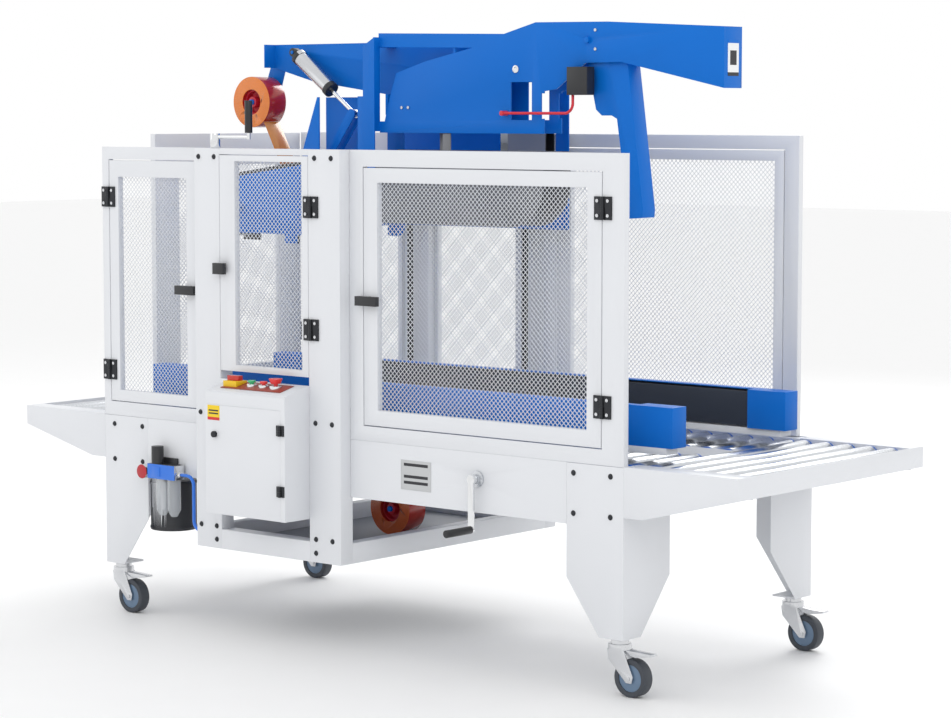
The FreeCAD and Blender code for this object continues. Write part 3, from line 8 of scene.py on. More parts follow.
import bpy
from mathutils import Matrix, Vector


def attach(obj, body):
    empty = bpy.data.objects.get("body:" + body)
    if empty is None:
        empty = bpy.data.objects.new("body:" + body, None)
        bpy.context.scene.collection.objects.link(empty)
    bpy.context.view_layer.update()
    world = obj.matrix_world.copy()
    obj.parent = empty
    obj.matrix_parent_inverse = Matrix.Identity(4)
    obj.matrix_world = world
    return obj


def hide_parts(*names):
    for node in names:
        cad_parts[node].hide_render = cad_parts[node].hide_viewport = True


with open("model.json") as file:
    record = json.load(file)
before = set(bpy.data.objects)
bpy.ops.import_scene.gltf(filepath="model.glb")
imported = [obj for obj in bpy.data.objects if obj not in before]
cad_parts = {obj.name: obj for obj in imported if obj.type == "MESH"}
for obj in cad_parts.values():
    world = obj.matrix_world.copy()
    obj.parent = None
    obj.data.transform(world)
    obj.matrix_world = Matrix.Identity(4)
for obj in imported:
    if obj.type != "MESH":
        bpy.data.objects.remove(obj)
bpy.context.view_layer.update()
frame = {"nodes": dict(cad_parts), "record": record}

log = logging.getLogger("carton_sealer")

MM = 0.001
LANE_Y = 0.055
Vec = tuple[float, float, float]


def place(x: float, y: float, z: float) -> Vec:
    """A point given in millimetres about the lane, in the frame's metres."""
    return (x * MM, y * MM + LANE_Y, z * MM)


# ------------------------------------------------------------------ shader maths


@dataclass(frozen=True)
class Signal:
    """A value socket that takes part in arithmetic."""

    tree: bpy.types.NodeTree
    socket: bpy.types.NodeSocket

    def _math(self, operation: str, left: object, right: object) -> "Signal":
        """Adds a Math node.

        Args:
            operation: the node's operation.
            left: first operand, a Signal or a number.
            right: second operand, a Signal or a number.

        Returns:
            The node's result.
        """
        made = self.tree.nodes.new("ShaderNodeMath")
        made.operation = operation
        for slot, value in zip(made.inputs, (left, right)):
            if isinstance(value, Signal):
                self.tree.links.new(value.socket, slot)
            else:
                slot.default_value = float(value)
        return Signal(self.tree, made.outputs[0])

    def __add__(self, other: object) -> "Signal":
        """The sum."""
        return self._math("ADD", self, other)

    def __radd__(self, other: object) -> "Signal":
        """The sum with a number on the left."""
        return self._math("ADD", other, self)

    def __sub__(self, other: object) -> "Signal":
        """The difference."""
        return self._math("SUBTRACT", self, other)

    def __rsub__(self, other: object) -> "Signal":
        """The difference from a number."""
        return self._math("SUBTRACT", other, self)

    def __mul__(self, other: object) -> "Signal":
        """The product."""
        return self._math("MULTIPLY", self, other)

    def __rmul__(self, other: object) -> "Signal":
        """The product with a number on the left."""
        return self._math("MULTIPLY", other, self)

    def __pow__(self, other: object) -> "Signal":
        """The power."""
        return self._math("POWER", self, other)

    def wave(self) -> "Signal":
        """The sine."""
        return self._math("SINE", self, 0.0)


class Pattern(Enum):
    """How a finish varies over its surface."""

    POWDER = "powder coat"
    BRUSHED = "brushed metal"
    PLATED = "plated metal"
    MOULDED = "moulded plastic"
    RUBBER = "rubber"
    WOUND = "wound film"
    THREAD = "screw thread"


@dataclass(frozen=True)
class Finish:
    """One surface finish.

    The grain is in bumps per metre, and relief is the bump's height in metres.
    """

    name: str
    slot: str
    pattern: Pattern
    colour: Vec
    rough: float
    metal: float = 0.0
    grain: float = 900.0
    relief: float = 0.00008
    mottle: float = 0.05
    coat: float = 0.0
    along: Vec = (1.0, 1.0, 1.0)
    centre: Vec = (0.0, 0.0, 0.0)
    alpha: float = 1.0
    specular: float = 0.5

    def material(self) -> bpy.types.Material:
        """The finish as a material, made once."""
        made = bpy.data.materials.get(self.name)
        return made if made else FinishMaker(self).make()


@dataclass
class FinishMaker:
    """Builds one finish's node tree."""

    finish: Finish
    tree: bpy.types.NodeTree = None

    def node(self, kind: str, settings: dict, sockets: dict) -> bpy.types.Node:
        """Adds a node.

        Args:
            kind: the node's type.
            settings: attributes of the node, set first.
            sockets: values or Signals for its named inputs.

        Returns:
            The new node.
        """
        made = self.tree.nodes.new(kind)
        for key, value in settings.items():
            setattr(made, key, value)
        for key, value in sockets.items():
            slot = made.inputs[key]
            if isinstance(value, Signal):
                self.tree.links.new(value.socket, slot)
            else:
                slot.default_value = value
        return made

    def out(self, made: bpy.types.Node, index: int = 0) -> Signal:
        """One output of a node."""
        return Signal(self.tree, made.outputs[index])

    def noise(self, scale: float, detail: float, stretch: Vec) -> Signal:
        """Noise on the piece's own coordinates, stretched along its axes."""
        where = self.node("ShaderNodeTexCoord", {}, {})
        turned = self.node("ShaderNodeMapping", {}, {"Vector": self.out(where, 3), "Scale": stretch})
        return self.out(self.node(
            "ShaderNodeTexNoise", {}, {"Vector": self.out(turned), "Scale": scale, "Detail": detail}))

    def rings(self, spacing: float) -> Signal:
        """Fine rings about the Y axis through the finish's centre."""
        where = self.node("ShaderNodeTexCoord", {}, {})
        shift = self.node("ShaderNodeVectorMath", {"operation": "SUBTRACT"}, {0: self.out(where, 3), 1: self.finish.centre})
        flat = self.node("ShaderNodeVectorMath", {"operation": "MULTIPLY"}, {0: self.out(shift), 1: (1, 0, 1)})
        length = self.node("ShaderNodeVectorMath", {"operation": "LENGTH"}, {0: self.out(flat)})
        return (self.out(length, 1) * (2 * math.pi / spacing)).wave()

    def height(self) -> Signal:
        """Height along Z."""
        where = self.node("ShaderNodeTexCoord", {}, {})
        split = self.node("ShaderNodeSeparateXYZ", {}, {"Vector": self.out(where, 3)})
        return self.out(split, 2)

    def tint(self, mask: Signal, amount: float) -> Signal:
        """The colour, darker and lighter by a mask."""
        low = tuple(max(0.0, c * (1 - amount)) for c in self.finish.colour) + (1.0,)
        high = tuple(min(1.0, c * (1 + amount)) for c in self.finish.colour) + (1.0,)
        mix = self.node("ShaderNodeMix", {"data_type": "RGBA"}, {"Factor": mask})
        mix.inputs[6].default_value = low
        mix.inputs[7].default_value = high
        return Signal(self.tree, mix.outputs[2])

    def make(self) -> bpy.types.Material:
        """Builds the material.

        Returns:
            The finished material.
        """
        finish = self.finish
        made = bpy.data.materials.new(finish.name)
        made.use_nodes = True
        self.tree = made.node_tree
        shader = self.tree.nodes["Principled BSDF"]
        broad = self.noise(6.0, 4.0, (1, 1, 1))
        fine = self.noise(finish.grain, 2.0, finish.along)
        surface = fine
        if finish.pattern is Pattern.WOUND:
            rings = self.rings(0.0006)
            surface = rings * 0.5 + fine * 0.5
            broad = broad * 0.5 + rings * 0.25 + 0.25
        elif finish.pattern is Pattern.THREAD:
            surface = (self.height() * (2 * math.pi / 0.004)).wave() * 0.5 + 0.5
        elif finish.pattern is Pattern.BRUSHED:
            broad = broad * 0.4 + fine * 0.6
        colour = self.tint(broad, finish.mottle)
        spread = 0.12 if finish.pattern in (Pattern.BRUSHED, Pattern.PLATED) else 0.08
        rough = broad * spread + (finish.rough - spread / 2)
        bump = self.node("ShaderNodeBump", {}, {"Height": surface, "Distance": finish.relief, "Strength": 0.6})
        links = self.tree.links
        links.new(colour.socket, shader.inputs["Base Color"])
        links.new(rough.socket, shader.inputs["Roughness"])
        links.new(bump.outputs[0], shader.inputs["Normal"])
        shader.inputs["Metallic"].default_value = finish.metal
        shader.inputs["Coat Weight"].default_value = finish.coat
        shader.inputs["Alpha"].default_value = finish.alpha
        shader.inputs["Specular IOR Level"].default_value = finish.specular
        made.diffuse_color = (*finish.colour, 1.0)
        return made


POWDER, BRUSHED, PLATED = Pattern.POWDER, Pattern.BRUSHED, Pattern.PLATED
MOULDED, RUBBER = Pattern.MOULDED, Pattern.RUBBER
WHITE = Finish("white_powder_coat", "paint_white", POWDER, (0.73, 0.745, 0.775), 0.42, mottle=0.015, coat=0.1)
BLUE = Finish("blue_powder_coat", "paint_blue", POWDER, (0.001, 0.15, 0.6), 0.4, mottle=0.05, specular=0.2)
GREY = Finish("grey_powder_coat", "paint_grey", POWDER, (0.3, 0.315, 0.34), 0.42)
WING = Finish("wing_sheet", "paint_grey", BRUSHED, (0.17, 0.175, 0.19), 0.33, 0.6, 300.0, 0.00002, 0.15)
TRAY = Finish("tray_grey", "paint_grey", POWDER, (0.3, 0.31, 0.33), 0.5, mottle=0.12)
# Near-black. On the tank and the upper head it is their own black. On the head carriage it is partly the black slider
# pads and partly painted shade on its shadowed sides.
DARK = Finish("carriage_black", "black_plastic", POWDER, (0.025, 0.027, 0.032), 0.42)
STEEL = Finish("turned_roller_steel", "roller_steel", BRUSHED, (0.62, 0.64, 0.67), 0.27, 1.0, 500.0, 0.00003, 0.12, along=(0.2, 2, 0.2))
ZINC = Finish("zinc_plate", "fork", PLATED, (0.66, 0.67, 0.69), 0.24, 1.0, 260.0, 0.00004, 0.16)
CHROME = Finish("chrome_plate", "crank_steel", PLATED, (0.78, 0.79, 0.8), 0.12, 1.0, 300.0, 0.00002, 0.08)
BLACKENED = Finish("blackened_steel", "screw_steel", PLATED, (0.035, 0.037, 0.042), 0.34, 0.7, 500.0, 0.00005, 0.2)
SCREW = Finish("black_lift_screw", "screw_steel", Pattern.THREAD, (0.05, 0.05, 0.055), 0.32, 0.8, 400.0, 0.0009, 0.15)
BLACK = Finish("black_nylon", "black_plastic", MOULDED, (0.022, 0.023, 0.026), 0.4, grain=1500.0)
GRIP = Finish("black_grip", "black_plastic", MOULDED, (0.015, 0.015, 0.017), 0.32, grain=1200.0)
CAP_BLUE = Finish("blue_cap", "paint_blue", MOULDED, (0.006, 0.13, 0.55), 0.35, grain=1500.0)
BELT = Finish("dark_belt", "drum", RUBBER, (0.018, 0.026, 0.045), 0.55, grain=1800.0, relief=0.0002)
TYRE = Finish("caster_tyre", "tyre", RUBBER, (0.045, 0.052, 0.065), 0.55, grain=700.0, relief=0.0001)
HUB = Finish("caster_hub", "tyre", MOULDED, (0.13, 0.2, 0.3), 0.38, grain=900.0)
RED = Finish("red_button", "red_button", MOULDED, (0.62, 0.012, 0.012), 0.25, coat=0.4)
DEEP_RED = Finish("isolator_red", "isolator", MOULDED, (0.55, 0.02, 0.01), 0.3, coat=0.3)
GREEN = Finish("green_button", "green_button", MOULDED, (0.01, 0.3, 0.08), 0.25, coat=0.4)
YELLOW = Finish("yellow_moulding", "isolator", MOULDED, (0.85, 0.55, 0.01), 0.35)
RUST = Finish("panel_overlay", "isolator", MOULDED, (0.32, 0.05, 0.03), 0.4)
MAGENTA = Finish("spool_hub", "red_button", MOULDED, (0.5, 0.012, 0.03), 0.35)
AMBER = Finish(
    "tape_edge_upper", "tape", Pattern.WOUND, (0.78, 0.2, 0.012), 0.28, relief=0.0002, mottle=0.2, coat=0.5,
    centre=(-0.75, LANE_Y, 1.538))
AMBER_LOW = Finish(
    "tape_edge_lower", "tape", Pattern.WOUND, (0.6, 0.1, 0.01), 0.28, relief=0.0002, mottle=0.2, coat=0.5,
    centre=(-0.188, LANE_Y, 0.34))
UPPER_TAPE = Finish("tape_film_upper", "tape", MOULDED, (0.42, 0.016, 0.012), 0.22, mottle=0.12, coat=0.5)
LOWER_TAPE = Finish("tape_film_lower", "tape", MOULDED, (0.38, 0.02, 0.012), 0.24, mottle=0.12, coat=0.5)
WEB = Finish("tape_web", "tape", MOULDED, (0.6, 0.2, 0.02), 0.22, grain=200.0, coat=0.6)
ALLOY = Finish("anodised_barrel", "cylinder", BRUSHED, (0.6, 0.61, 0.63), 0.3, 1.0, 400.0, 0.00003, 0.1)
CLEAR = Finish("clear_bowl", "black_plastic", MOULDED, (0.6, 0.63, 0.66), 0.08, coat=0.6, alpha=0.45)
HOSE_BLUE = Finish("blue_tube", "hose", MOULDED, (0.01, 0.16, 0.7), 0.3, coat=0.4)
HOSE_RED = Finish("red_tube", "red_button", MOULDED, (0.7, 0.01, 0.03), 0.3, coat=0.4)
DIAL = Finish("dial_red", "red_button", MOULDED, (0.45, 0.02, 0.03), 0.3)
WIRE = Finish("coated_mesh_wire", "paint_white", POWDER, (0.72, 0.74, 0.77), 0.4)
PLATE = Finish("etched_plate", "roller_steel", BRUSHED, (0.55, 0.56, 0.57), 0.35, 0.9, 500.0, 0.00003, 0.1)
LABEL_WHITE = Finish("label_white", "paint_white", MOULDED, (0.85, 0.86, 0.87), 0.35)
LABEL_YELLOW = Finish("label_yellow", "isolator", MOULDED, (0.85, 0.6, 0.01), 0.35)
LABEL_RED = Finish("label_red", "red_button", MOULDED, (0.65, 0.02, 0.02), 0.35)
INK = Finish("label_ink", "black_plastic", MOULDED, (0.02, 0.02, 0.025), 0.4)


# ------------------------------------------------------------------ bench


@dataclass(frozen=True)
class Region:
    """Faces inside a box, in millimetres about the lane, that take another finish."""

    finish: Finish
    low: Vec
    high: Vec

    def holds(self, point: Vector) -> bool:
        """Whether a point in metres lies in the box."""
        low, high = place(*self.low), place(*self.high)
        return all(a <= p <= b for a, p, b in zip(low, point, high))


class Bench:
    """The modelling operations that the sub-assemblies share."""

    @staticmethod
    def clear() -> None:
        """Leaves object mode with nothing selected."""
        if bpy.context.object and bpy.context.object.mode != "OBJECT":
            bpy.ops.object.mode_set(mode="OBJECT")
        bpy.ops.object.select_all(action="DESELECT")

    @staticmethod
    def take(piece: bpy.types.Object) -> None:
        """Makes a piece the only one selected, and active."""
        Bench.clear()
        piece.select_set(True)
        bpy.context.view_layer.objects.active = piece

    @staticmethod
    def apply_place(piece: bpy.types.Object) -> None:
        """Moves the piece's place into its mesh."""
        Bench.take(piece)
        bpy.ops.object.transform_apply(location=True, rotation=True, scale=True)

    @staticmethod
    def parts(node: str) -> list[bpy.types.Object]:
        """A copy of a CAD node, merged and parted into its separate solids."""
        source = frame["nodes"][node]
        copy = bpy.data.objects.new(node + "_part", source.data.copy())
        copy.data.materials.clear()
        bpy.context.scene.collection.objects.link(copy)
        Bench.take(copy)
        bpy.ops.object.mode_set(mode="EDIT")
        bpy.ops.mesh.select_all(action="SELECT")
        bpy.ops.mesh.remove_doubles(threshold=0.000005)
        bpy.ops.mesh.dissolve_limited(angle_limit=math.radians(0.5))
        bpy.ops.mesh.separate(type="LOOSE")
        bpy.ops.object.mode_set(mode="OBJECT")
        return sorted(bpy.context.selected_objects, key=lambda o: o.name)

    @staticmethod
    def join(pieces: list[bpy.types.Object]) -> bpy.types.Object:
        """Joins several objects into the first."""
        Bench.clear()
        for piece in pieces:
            piece.select_set(True)
        bpy.context.view_layer.objects.active = pieces[0]
        if len(pieces) > 1:
            bpy.ops.object.join()
        return bpy.context.view_layer.objects.active

    @staticmethod
    def paint(piece: bpy.types.Object, finish: Finish, regions: tuple[Region, ...] = ()) -> None:
        """Gives a piece its finish, and other finishes to its regions."""
        piece.data.materials.clear()
        for one in (finish, *(region.finish for region in regions)):
            piece.data.materials.append(one.material())
        for face in piece.data.polygons:
            face.material_index = 0
            for number, region in enumerate(regions, start=1):
                if region.holds(face.center):
                    face.material_index = number

    @staticmethod
    def soften(piece: bpy.types.Object, width: float, segments: int = 2) -> None:
        """Rounds the piece's sharp edges and shades it smooth."""
        Bench.take(piece)
        if width:
            bevel = piece.modifiers.new("edges", "BEVEL")
            bevel.width = width
            bevel.segments = segments
            bevel.limit_method = "ANGLE"
            bevel.angle_limit = math.radians(35)
            bevel.use_clamp_overlap = True
            bpy.ops.object.modifier_apply(modifier=bevel.name)
        bpy.ops.object.shade_smooth_by_angle(angle=math.radians(32))

    @staticmethod
    def settle(
        piece: bpy.types.Object, name: str, body: str, finish: Finish, *nodes: str,
        regions: tuple[Region, ...] = (), edge: float = 0.0006,
    ) -> bpy.types.Object:
        """Finishes a piece and hands it to its body.

        Args:
            piece: the object.
            name: its name.
            body: the body it rides on.
            finish: its finish.
            nodes: the CAD nodes that it stands for.
            regions: parts with another finish.
            edge: radius of its rounded edges.

        Returns:
            The piece.
        """
        Bench.paint(piece, finish, regions)
        Bench.soften(piece, edge)
        piece.name = name
        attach(piece, body)
        if nodes:
            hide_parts(*nodes)
        log.info("piece %s rides %s", name, body)
        return piece

    @staticmethod
    def extent(piece: bpy.types.Object) -> tuple[Vector, Vector]:
        """Lowest and highest corner of a piece."""
        points = [vertex.co for vertex in piece.data.vertices]
        low = Vector([min(p[i] for p in points) for i in range(3)])
        high = Vector([max(p[i] for p in points) for i in range(3)])
        return low, high

    @staticmethod
    def size(piece: bpy.types.Object) -> Vector:
        """Size of a piece along each axis."""
        low, high = Bench.extent(piece)
        return high - low


def body_of(node: str) -> str:
    """The body that carries a CAD node."""
    groups = frame["record"]["behaviour"]["bodies"]
    return next(body for body, nodes in groups.items() if node in nodes)


@dataclass
class Skins:
    """CAD nodes that are one piece, with softened edges and their own finish."""

    plain: dict[str, Finish] = field(default_factory=lambda: {
        "side_panels": WHITE, "legs": WHITE, "tower_posts": WHITE, "bed_frame": WHITE, "table_frames": WHITE,
        "near_guard_frames": WHITE, "control_box": WHITE,
        "frame_bolts": BLACKENED, "door_hinges": BLACKENED, "guide_shafts": STEEL,
        "near_right_latch": BLACK, "near_left_latch": BLACK, "tower_latch": BLACK,
        "isolator_knob": DEEP_RED, "start_button": GREEN, "stop_button": RED, "emergency_button": RED,
        "lift_screw_left": SCREW, "lift_screw_right": SCREW, "near_drive_drum": BELT, "far_drive_drum": BELT,
        "head_plates": BLUE, "flap_wings": WING, "kicker_arm": BLUE, "press_lever": BLUE, "press_rod": CHROME,
        "upper_tape_arm": GREY, "air_hose": HOSE_BLUE,
    })

    def build(self) -> None:
        """Dresses every one-piece node."""
        for node, finish in self.plain.items():
            piece = Bench.join(Bench.parts(node))
            Bench.settle(piece, node + "_skin", body_of(node), finish, node)


@dataclass
class Parted:
    """CAD nodes whose solids have different finishes."""

    def group(self, node: str, rule: object, regions: dict | None = None) -> None:
        """Sorts a node's solids by a rule and finishes each group.

        Args:
            node: the CAD node.
            rule: gives (label, finish) for a solid, or None where another piece stands for it.
            regions: regions by label.
        """
        groups: dict[str, list[bpy.types.Object]] = {}
        finishes: dict[str, Finish] = {}
        for part in Bench.parts(node):
            answer = rule(part)
            if answer is None:
                bpy.data.objects.remove(part)
                continue
            label, finish = answer
            groups.setdefault(label, []).append(part)
            finishes[label] = finish
        for label, members in groups.items():
            piece = Bench.join(members)
            Bench.settle(
                piece, f"{node}_{label}", body_of(node), finishes[label], node, regions=(regions or {}).get(label, ()))

    @staticmethod
    def door(part: bpy.types.Object) -> tuple[str, Finish] | None:
        """Sorts a door's solids."""
        size = Bench.size(part)
        if min(size.x, size.y) < 0.002 and size.z > 0.2:
            return None
        if size.z < 0.07:
            return "hardware", BLACKENED
        return "leaf", WHITE

    @staticmethod
    def roller(part: bpy.types.Object) -> tuple[str, Finish]:
        """Sorts rollers and their end caps."""
        return ("caps", CAP_BLUE) if Bench.size(part).y < 0.01 else ("tubes", STEEL)

    @staticmethod
    def belt_unit(part: bpy.types.Object) -> tuple[str, Finish]:
        """Sorts a belt unit's covers, frame, belt and idle drum."""
        low, high = Bench.extent(part)
        if high.x - low.x < 0.1:
            return "idle_drum", BELT
        if low.z < 0.63:
            return "rail", WHITE
        return ("belt", BELT) if high.z < 0.742 else ("covers", BLUE)

    @staticmethod
    def base(part: bpy.types.Object) -> tuple[str, Finish]:
        """Sorts the tower base's rails and tray."""
        return ("tray", TRAY) if Bench.size(part).z < 0.004 else ("rails", WHITE)

    @staticmethod
    def spool(tape: Finish) -> object:
        """Sorts a tape roll's solids."""
        def rule(part: bpy.types.Object) -> tuple[str, Finish]:
            """Tells the wound tape from its core and hub."""
            width = Bench.size(part).x
            if width > 0.1:
                return "tape", tape
            return ("core", BLACK) if width > 0.08 else ("hub", MAGENTA)
        return rule

    @staticmethod
    def wheel(part: bpy.types.Object) -> tuple[str, Finish]:
        """Sorts a wheel's tyre and hub."""
        return ("tyre", TYRE) if Bench.size(part).x > 0.09 else ("hub", HUB)

    @staticmethod
    def air(part: bpy.types.Object) -> tuple[str, Finish]:
        """Sorts the air unit's body and bowls."""
        return ("bowl", CLEAR) if Bench.size(part).x < 0.05 else ("body", BLACK)

    @staticmethod
    def bezel(part: bpy.types.Object) -> tuple[str, Finish]:
        """Sorts the isolator's base from the button rings."""
        return ("isolator_base", YELLOW) if Bench.size(part).x > 0.045 else ("rings", CHROME)

    @staticmethod
    def upper_head(part: bpy.types.Object) -> tuple[str, Finish]:
        """Sorts the upper taping head's body and tape web."""
        return ("web", WEB) if 0.02 < Bench.size(part).x < 0.1 else ("body", BLUE)

    def build(self) -> None:
        """Dresses every node of several finishes."""
        for node in ("near_right_door", "near_left_door", "tower_door", "far_door", "exit_gate", "far_guard_frames", "box_door"):
            self.group(node, self.door)
        for node in ("table_rollers", "bed_rollers"):
            self.group(node, self.roller)
        for node in ("near_belt_unit", "far_belt_unit"):
            self.group(node, self.belt_unit)
        self.group("tower_base", self.base)
        self.group("upper_tape_roll", self.spool(UPPER_TAPE), {"tape": (
            Region(AMBER, (-900, -37, 1400), (-600, -35, 1700)), Region(AMBER, (-900, 35, 1400), (-600, 37, 1700)))})
        self.group("lower_tape_roll", self.spool(LOWER_TAPE), {"tape": (
            Region(AMBER_LOW, (-300, -37, 200), (-60, -35, 480)), Region(AMBER_LOW, (-300, 35, 200), (-60, 37, 480)))})
        for place_name in ("near_right", "far_right", "near_left", "far_left"):
            self.group(f"caster_wheel_{place_name}", self.wheel)
            self.group(f"caster_fork_{place_name}", lambda part: ("fork", ZINC))
        self.group("control_bezels", self.bezel)
        self.group("air_unit", self.air, {"body": (
            Region(HOSE_BLUE, (-724, -492, 435), (-690, -486, 468)), Region(CHROME, (-800, -485, 424), (-752, -461, 470)),
            Region(DIAL, (-797, -486, 428), (-758, -483.5, 466)), Region(CHROME, (-634, -480, 430), (-620, -450, 460)))})
        self.group("air_tank", lambda part: ("drum", DARK), {"drum": (
            Region(WHITE, (-810, -440, 330), (-740, -414, 441)),)})
        self.group("upper_tape_head", self.upper_head, {"body": (
            Region(DARK, (-890, -26.5, 1290), (-500, 26.5, 1380)), Region(CHROME, (-795, -90, 1200), (-760, -54.5, 1240)),
            Region(BLACK, (-900, -56, 1110), (-500, 56, 1139)))})
        self.group("lower_tape_head", lambda part: ("body", BLUE))
        self.group("press_cylinder", lambda part: ("barrel", ALLOY), {"barrel": (
            Region(BLACK, (-625, -30, 1655), (-570, 30, 1715)), Region(BLACK, (-478, -30, 1540), (-430, 30, 1600)))})
        # The carriage is painted near-black apart from its grey front face and grey top. The black is partly its black
        # slider pads and partly painted shade on the shadowed sides.
        self.group("head_carriage", lambda part: ("body", BLUE), {"body": (
            Region(DARK, (-520, 376.5, 1155), (75, 432, 1448)), Region(GREY, (-520, 375.5, 1155), (75, 376.5, 1448)),
            Region(GREY, (-520, 376.5, 1449), (75, 432, 1451)))})
        self.group("head_valve", lambda part: (
            ("block", BLACK) if Bench.size(part).x < 0.1 else ("tube", HOSE_RED)))
        self.group("height_crank", lambda part: ("arm", CHROME), {"arm": (
            Region(GRIP, (-362, -468, 1448), (-330, -442, 1550)),)})
        self.group("width_crank", lambda part: ("arm", CHROME), {"arm": (
            Region(GRIP, (476, -572, 380), (504, -471, 410)),)})


@dataclass
class WireMesh:
    """Diagonal wire mesh in the guards' windows."""

    wire: float = 0.0009
    pitch: float = 0.0102
    margin: float = 6.0

    def panel(self, name: str, body: str, across: tuple[float, float], high: tuple[float, float],
              level: float, turned: bool, *nodes: str) -> None:
        """One window's mesh: two crossed rows of wires, trimmed to the window.

        Args:
            name: the piece's name.
            body: the body it rides on.
            across: the window's edges in millimetres, along X, or along Y if turned.
            high: its lower and upper edge in millimetres.
            level: where it lies in millimetres, along Y, or along X if turned.
            turned: whether the window faces along X.
            nodes: CAD nodes that it stands for.
        """
        low, top = (across[0] - self.margin) * MM, (across[1] + self.margin) * MM
        floor, head = (high[0] - self.margin) * MM, (high[1] + self.margin) * MM
        centre = Vector(((low + top) / 2, 0.0, (floor + head) / 2))
        length = math.hypot(top - low, head - floor) * 1.02
        count = int(length / self.pitch) + 1
        rows = []
        for sign in (-1, 1):
            Bench.clear()
            start = centre - Vector(((count - 1) * self.pitch / 2, -sign * self.wire * 0.8, 0))
            bpy.ops.mesh.primitive_cylinder_add(vertices=6, radius=self.wire, depth=length, location=start)
            row = bpy.context.object
            Bench.apply_place(row)
            array = row.modifiers.new("row", "ARRAY")
            array.use_relative_offset = False
            array.use_constant_offset = True
            array.constant_offset_displace = (self.pitch, 0, 0)
            array.count = count
            bpy.ops.object.modifier_apply(modifier=array.name)
            bpy.ops.object.mode_set(mode="EDIT")
            bpy.ops.mesh.select_all(action="SELECT")
            bpy.ops.transform.rotate(
                value=math.radians(45 * sign), orient_axis="Y", orient_type="GLOBAL", center_override=centre)
            for point, normal in (
                ((low, 0, 0), (-1, 0, 0)), ((top, 0, 0), (1, 0, 0)), ((0, 0, floor), (0, 0, -1)), ((0, 0, head), (0, 0, 1)),
            ):
                bpy.ops.mesh.select_all(action="SELECT")
                bpy.ops.mesh.bisect(plane_co=point, plane_no=normal, use_fill=True, clear_outer=True)
            bpy.ops.object.mode_set(mode="OBJECT")
            rows.append(row)
        piece = Bench.join(rows)
        if turned:
            piece.rotation_euler = (0, 0, math.radians(90))
            piece.location = (level * MM, LANE_Y, 0)
        else:
            piece.location = (0, level * MM + LANE_Y, 0)
        Bench.apply_place(piece)
        Bench.settle(piece, name, body, WIRE, *nodes, edge=0.0)

    def build(self) -> None:
        """Fills every window."""
        self.panel("near_right_wires", "near_right_door", (130, 858), (688, 1316), -429.4, False, "near_right_door")
        self.panel("near_left_wires", "near_left_door", (-910, -620), (678, 1316), -429.4, False, "near_left_door")
        self.panel("tower_wires", "tower_door", (-381, -118), (787, 1369), -469.4, False, "tower_door")
        self.panel("far_wires", "far_door", (130, 856), (700, 1372), 430.6, False, "far_door")
        self.panel("far_left_wires", "frame", (-900, -560), (700, 1372), 430.6, False, "far_guard_frames")
        self.panel("far_tower_wires", "frame", (-429, -106), (700, 1372), 470.6, False, "far_guard_frames")
        self.panel("exit_wires", "exit_gate", (-122, 320), (708, 1343), -989.4, True, "exit_gate")


@dataclass
class Fasteners:
    """Dome screws on the hinges and plates."""

    radius: float = 4.6
    height: float = 3.0

    def screw(self, x: float, y: float, z: float, outward: int) -> bpy.types.Object:
        """A socket-head dome screw on a face that looks along Y.

        Args:
            x: place along X in millimetres.
            y: height of the face along Y.
            z: place along Z.
            outward: -1 or 1, the way it stands out.

        Returns:
            The screw.
        """
        Bench.clear()
        bpy.ops.mesh.primitive_cylinder_add(
            vertices=20, radius=self.radius * MM, depth=self.height * MM,
            location=place(x, y + outward * self.height / 2, z), rotation=(math.radians(90), 0, 0))
        screw = bpy.context.object
        Bench.apply_place(screw)
        bpy.ops.object.mode_set(mode="EDIT")
        bpy.ops.mesh.select_all(action="DESELECT")
        bpy.ops.object.mode_set(mode="OBJECT")
        for face in screw.data.polygons:
            face.select = face.normal.y * outward > 0.9
        bpy.ops.object.mode_set(mode="EDIT")
        bpy.ops.mesh.select_mode(type="FACE")
        bpy.ops.mesh.inset(thickness=self.radius * MM * 0.35)
        bpy.ops.transform.translate(value=(0, outward * 0.0006, 0))
        bpy.ops.mesh.inset(thickness=self.radius * MM * 0.2)
        bpy.ops.transform.translate(value=(0, -outward * 0.0014, 0))
        bpy.ops.object.mode_set(mode="OBJECT")
        return screw

    def build(self) -> None:
        """Four screws on each door hinge."""
        hinges = (
            ("near_right_door", 911, -444, -1, (1264, 752), -1), ("near_left_door", -951, -444, -1, (1256, 738), 1),
            ("tower_door", -81, -484, -1, (1245, 903), -1), ("far_door", 890, 444, 1, (1280, 770), -1),
        )
        for door, x, y, outward, heights, side in hinges:
            for body, way in ((door, side), ("frame", -side)):
                screws = [self.screw(x + way * 17, y, z + dz, outward) for z in heights for dz in (-19, 19)]
                Bench.settle(Bench.join(screws), f"{door}_{body}_screws", body, ZINC, edge=0.0002)
        face = -41.0
        spots = ((576, 1732), (576, 1680), (-132, 1521), (-107, 1521))
        Bench.settle(Bench.join([self.screw(x, face, z, -1) for x, z in spots]), "head_screws", "head", ZINC, edge=0.0002)
        self.radius = 11.0
        Bench.settle(self.screw(295, face, 1628, -1), "head_boss_cap", "head", CHROME, edge=0.0004)


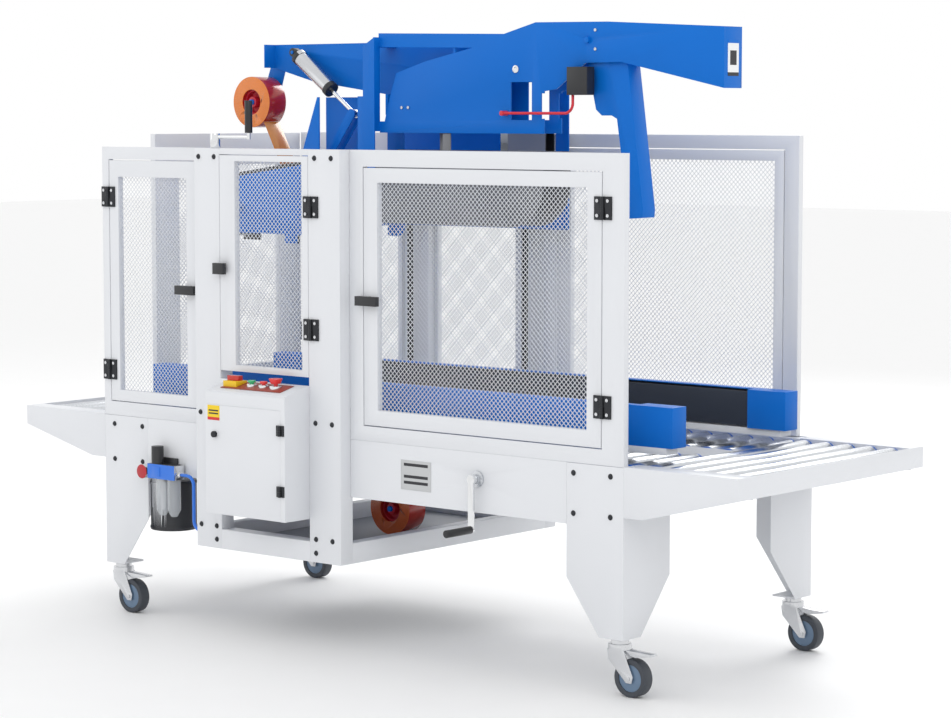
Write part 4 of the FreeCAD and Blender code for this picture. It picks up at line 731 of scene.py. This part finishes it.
@dataclass
class Labels:
    """Plain labels and the rating plate, without lettering."""

    def tag(self, name: str, body: str, finish: Finish, low: Vec, high: Vec, inner: tuple[Region, ...] = ()) -> None:
        """A thin rounded plate between two corners in millimetres."""
        Bench.clear()
        a, b = Vector(place(*low)), Vector(place(*high))
        bpy.ops.mesh.primitive_cube_add(size=1, location=(a + b) / 2, scale=b - a)
        plate = bpy.context.object
        Bench.apply_place(plate)
        bpy.ops.object.mode_set(mode="EDIT")
        bpy.ops.mesh.select_all(action="SELECT")
        bpy.ops.mesh.subdivide(number_cuts=9)
        bpy.ops.object.mode_set(mode="OBJECT")
        Bench.settle(plate, name, body, finish, regions=inner, edge=0.00015)

    def build(self) -> None:
        """Places every label."""
        front = -579.0
        self.tag("yellow_label", "box_door", LABEL_YELLOW, (-396, front - 0.5, 638), (-348, front, 680), (
            Region(LABEL_RED, (-396, -581, 638), (-348, -578, 647)),
            Region(INK, (-390, -581, 655), (-354, -578, 659)), Region(INK, (-390, -581, 665), (-354, -578, 669))))
        self.tag("rating_plate", "frame", PLATE, (216, -441, 478), (325, -440, 560), (
            Region(INK, (228, -442, 545), (314, -439, 552)), Region(INK, (226, -442, 512), (316, -439, 517)),
            Region(INK, (226, -442, 496), (316, -439, 500))))
        self.tag("head_label", "head", LABEL_WHITE, (1003, -24, 1604), (1003.5, 26, 1700), (
            Region(BLUE, (1002, -24, 1690), (1004, 26, 1701)), Region(INK, (1002, -14, 1634), (1004, 14, 1672)),
            Region(INK, (1002, -24, 1603), (1004, 26, 1613))))
        slope = math.atan2(23, 95)
        Bench.clear()
        bpy.ops.mesh.primitive_cube_add(size=1, location=place(-253, -524, 736), scale=(0.236, 0.06, 0.0012))
        panel = bpy.context.object
        panel.rotation_euler = (slope, 0, 0)
        Bench.apply_place(panel)
        Bench.settle(panel, "control_overlay", "frame", RUST, edge=0.0003)


@dataclass
class Studio:
    """Floor, light and camera."""

    camera_at: Vec = (5.19966, -5.98676, 1.51504)
    turn: float = 40.098
    tilt: float = 5.175
    lens: float = 104.22

    def light(self, name: str, at: Vec, power: float, size: float) -> None:
        """A square soft light that looks at the machine."""
        data = bpy.data.lights.new(name, "AREA")
        data.energy = power
        data.size = size
        lamp = bpy.data.objects.new(name, data)
        lamp.location = at
        lamp.rotation_euler = (Vector((0, 0, 0.8)) - Vector(at)).to_track_quat("-Z", "Y").to_euler()
        bpy.context.scene.collection.objects.link(lamp)

    def build(self) -> None:
        """Sets the studio."""
        Bench.clear()
        bpy.ops.mesh.primitive_plane_add(size=60, location=(0, 0, -0.0005))
        floor = bpy.context.object
        floor.name = "studio_floor"
        floor.data.materials.append(Finish("studio_floor", "paint_white", MOULDED, (0.93, 0.93, 0.93), 0.6, mottle=0.01).material())
        scene = bpy.context.scene
        world = bpy.data.worlds.new("studio") if not scene.world else scene.world
        scene.world = world
        world.use_nodes = True
        world.node_tree.nodes["Background"].inputs[0].default_value = (1, 1, 1, 1)
        world.node_tree.nodes["Background"].inputs[1].default_value = 1.0
        scene.view_settings.view_transform = "Standard"
        self.light("key", (3.5, -4.5, 5.0), 42, 3.0)
        self.light("fill", (-4.5, -3.5, 3.0), 12, 3.0)
        self.light("rear", (-1.0, 5.0, 4.5), 150, 3.0)
        data = bpy.data.cameras.new("camera")
        data.lens = self.lens
        data.sensor_width = 36
        data.clip_end = 100
        camera = bpy.data.objects.new("camera", data)
        camera.location = self.camera_at
        camera.rotation_euler = (math.radians(90 - self.tilt), 0, math.radians(self.turn))
        scene.collection.objects.link(camera)
        scene.camera = camera


def main() -> None:
    """Builds every sub-assembly in order."""
    logging.basicConfig(level=logging.INFO)
    for assembly in (Studio(), Skins(), Parted(), WireMesh(), Fasteners(), Labels()):
        assembly.build()


if __name__ == "__main__":
    main()
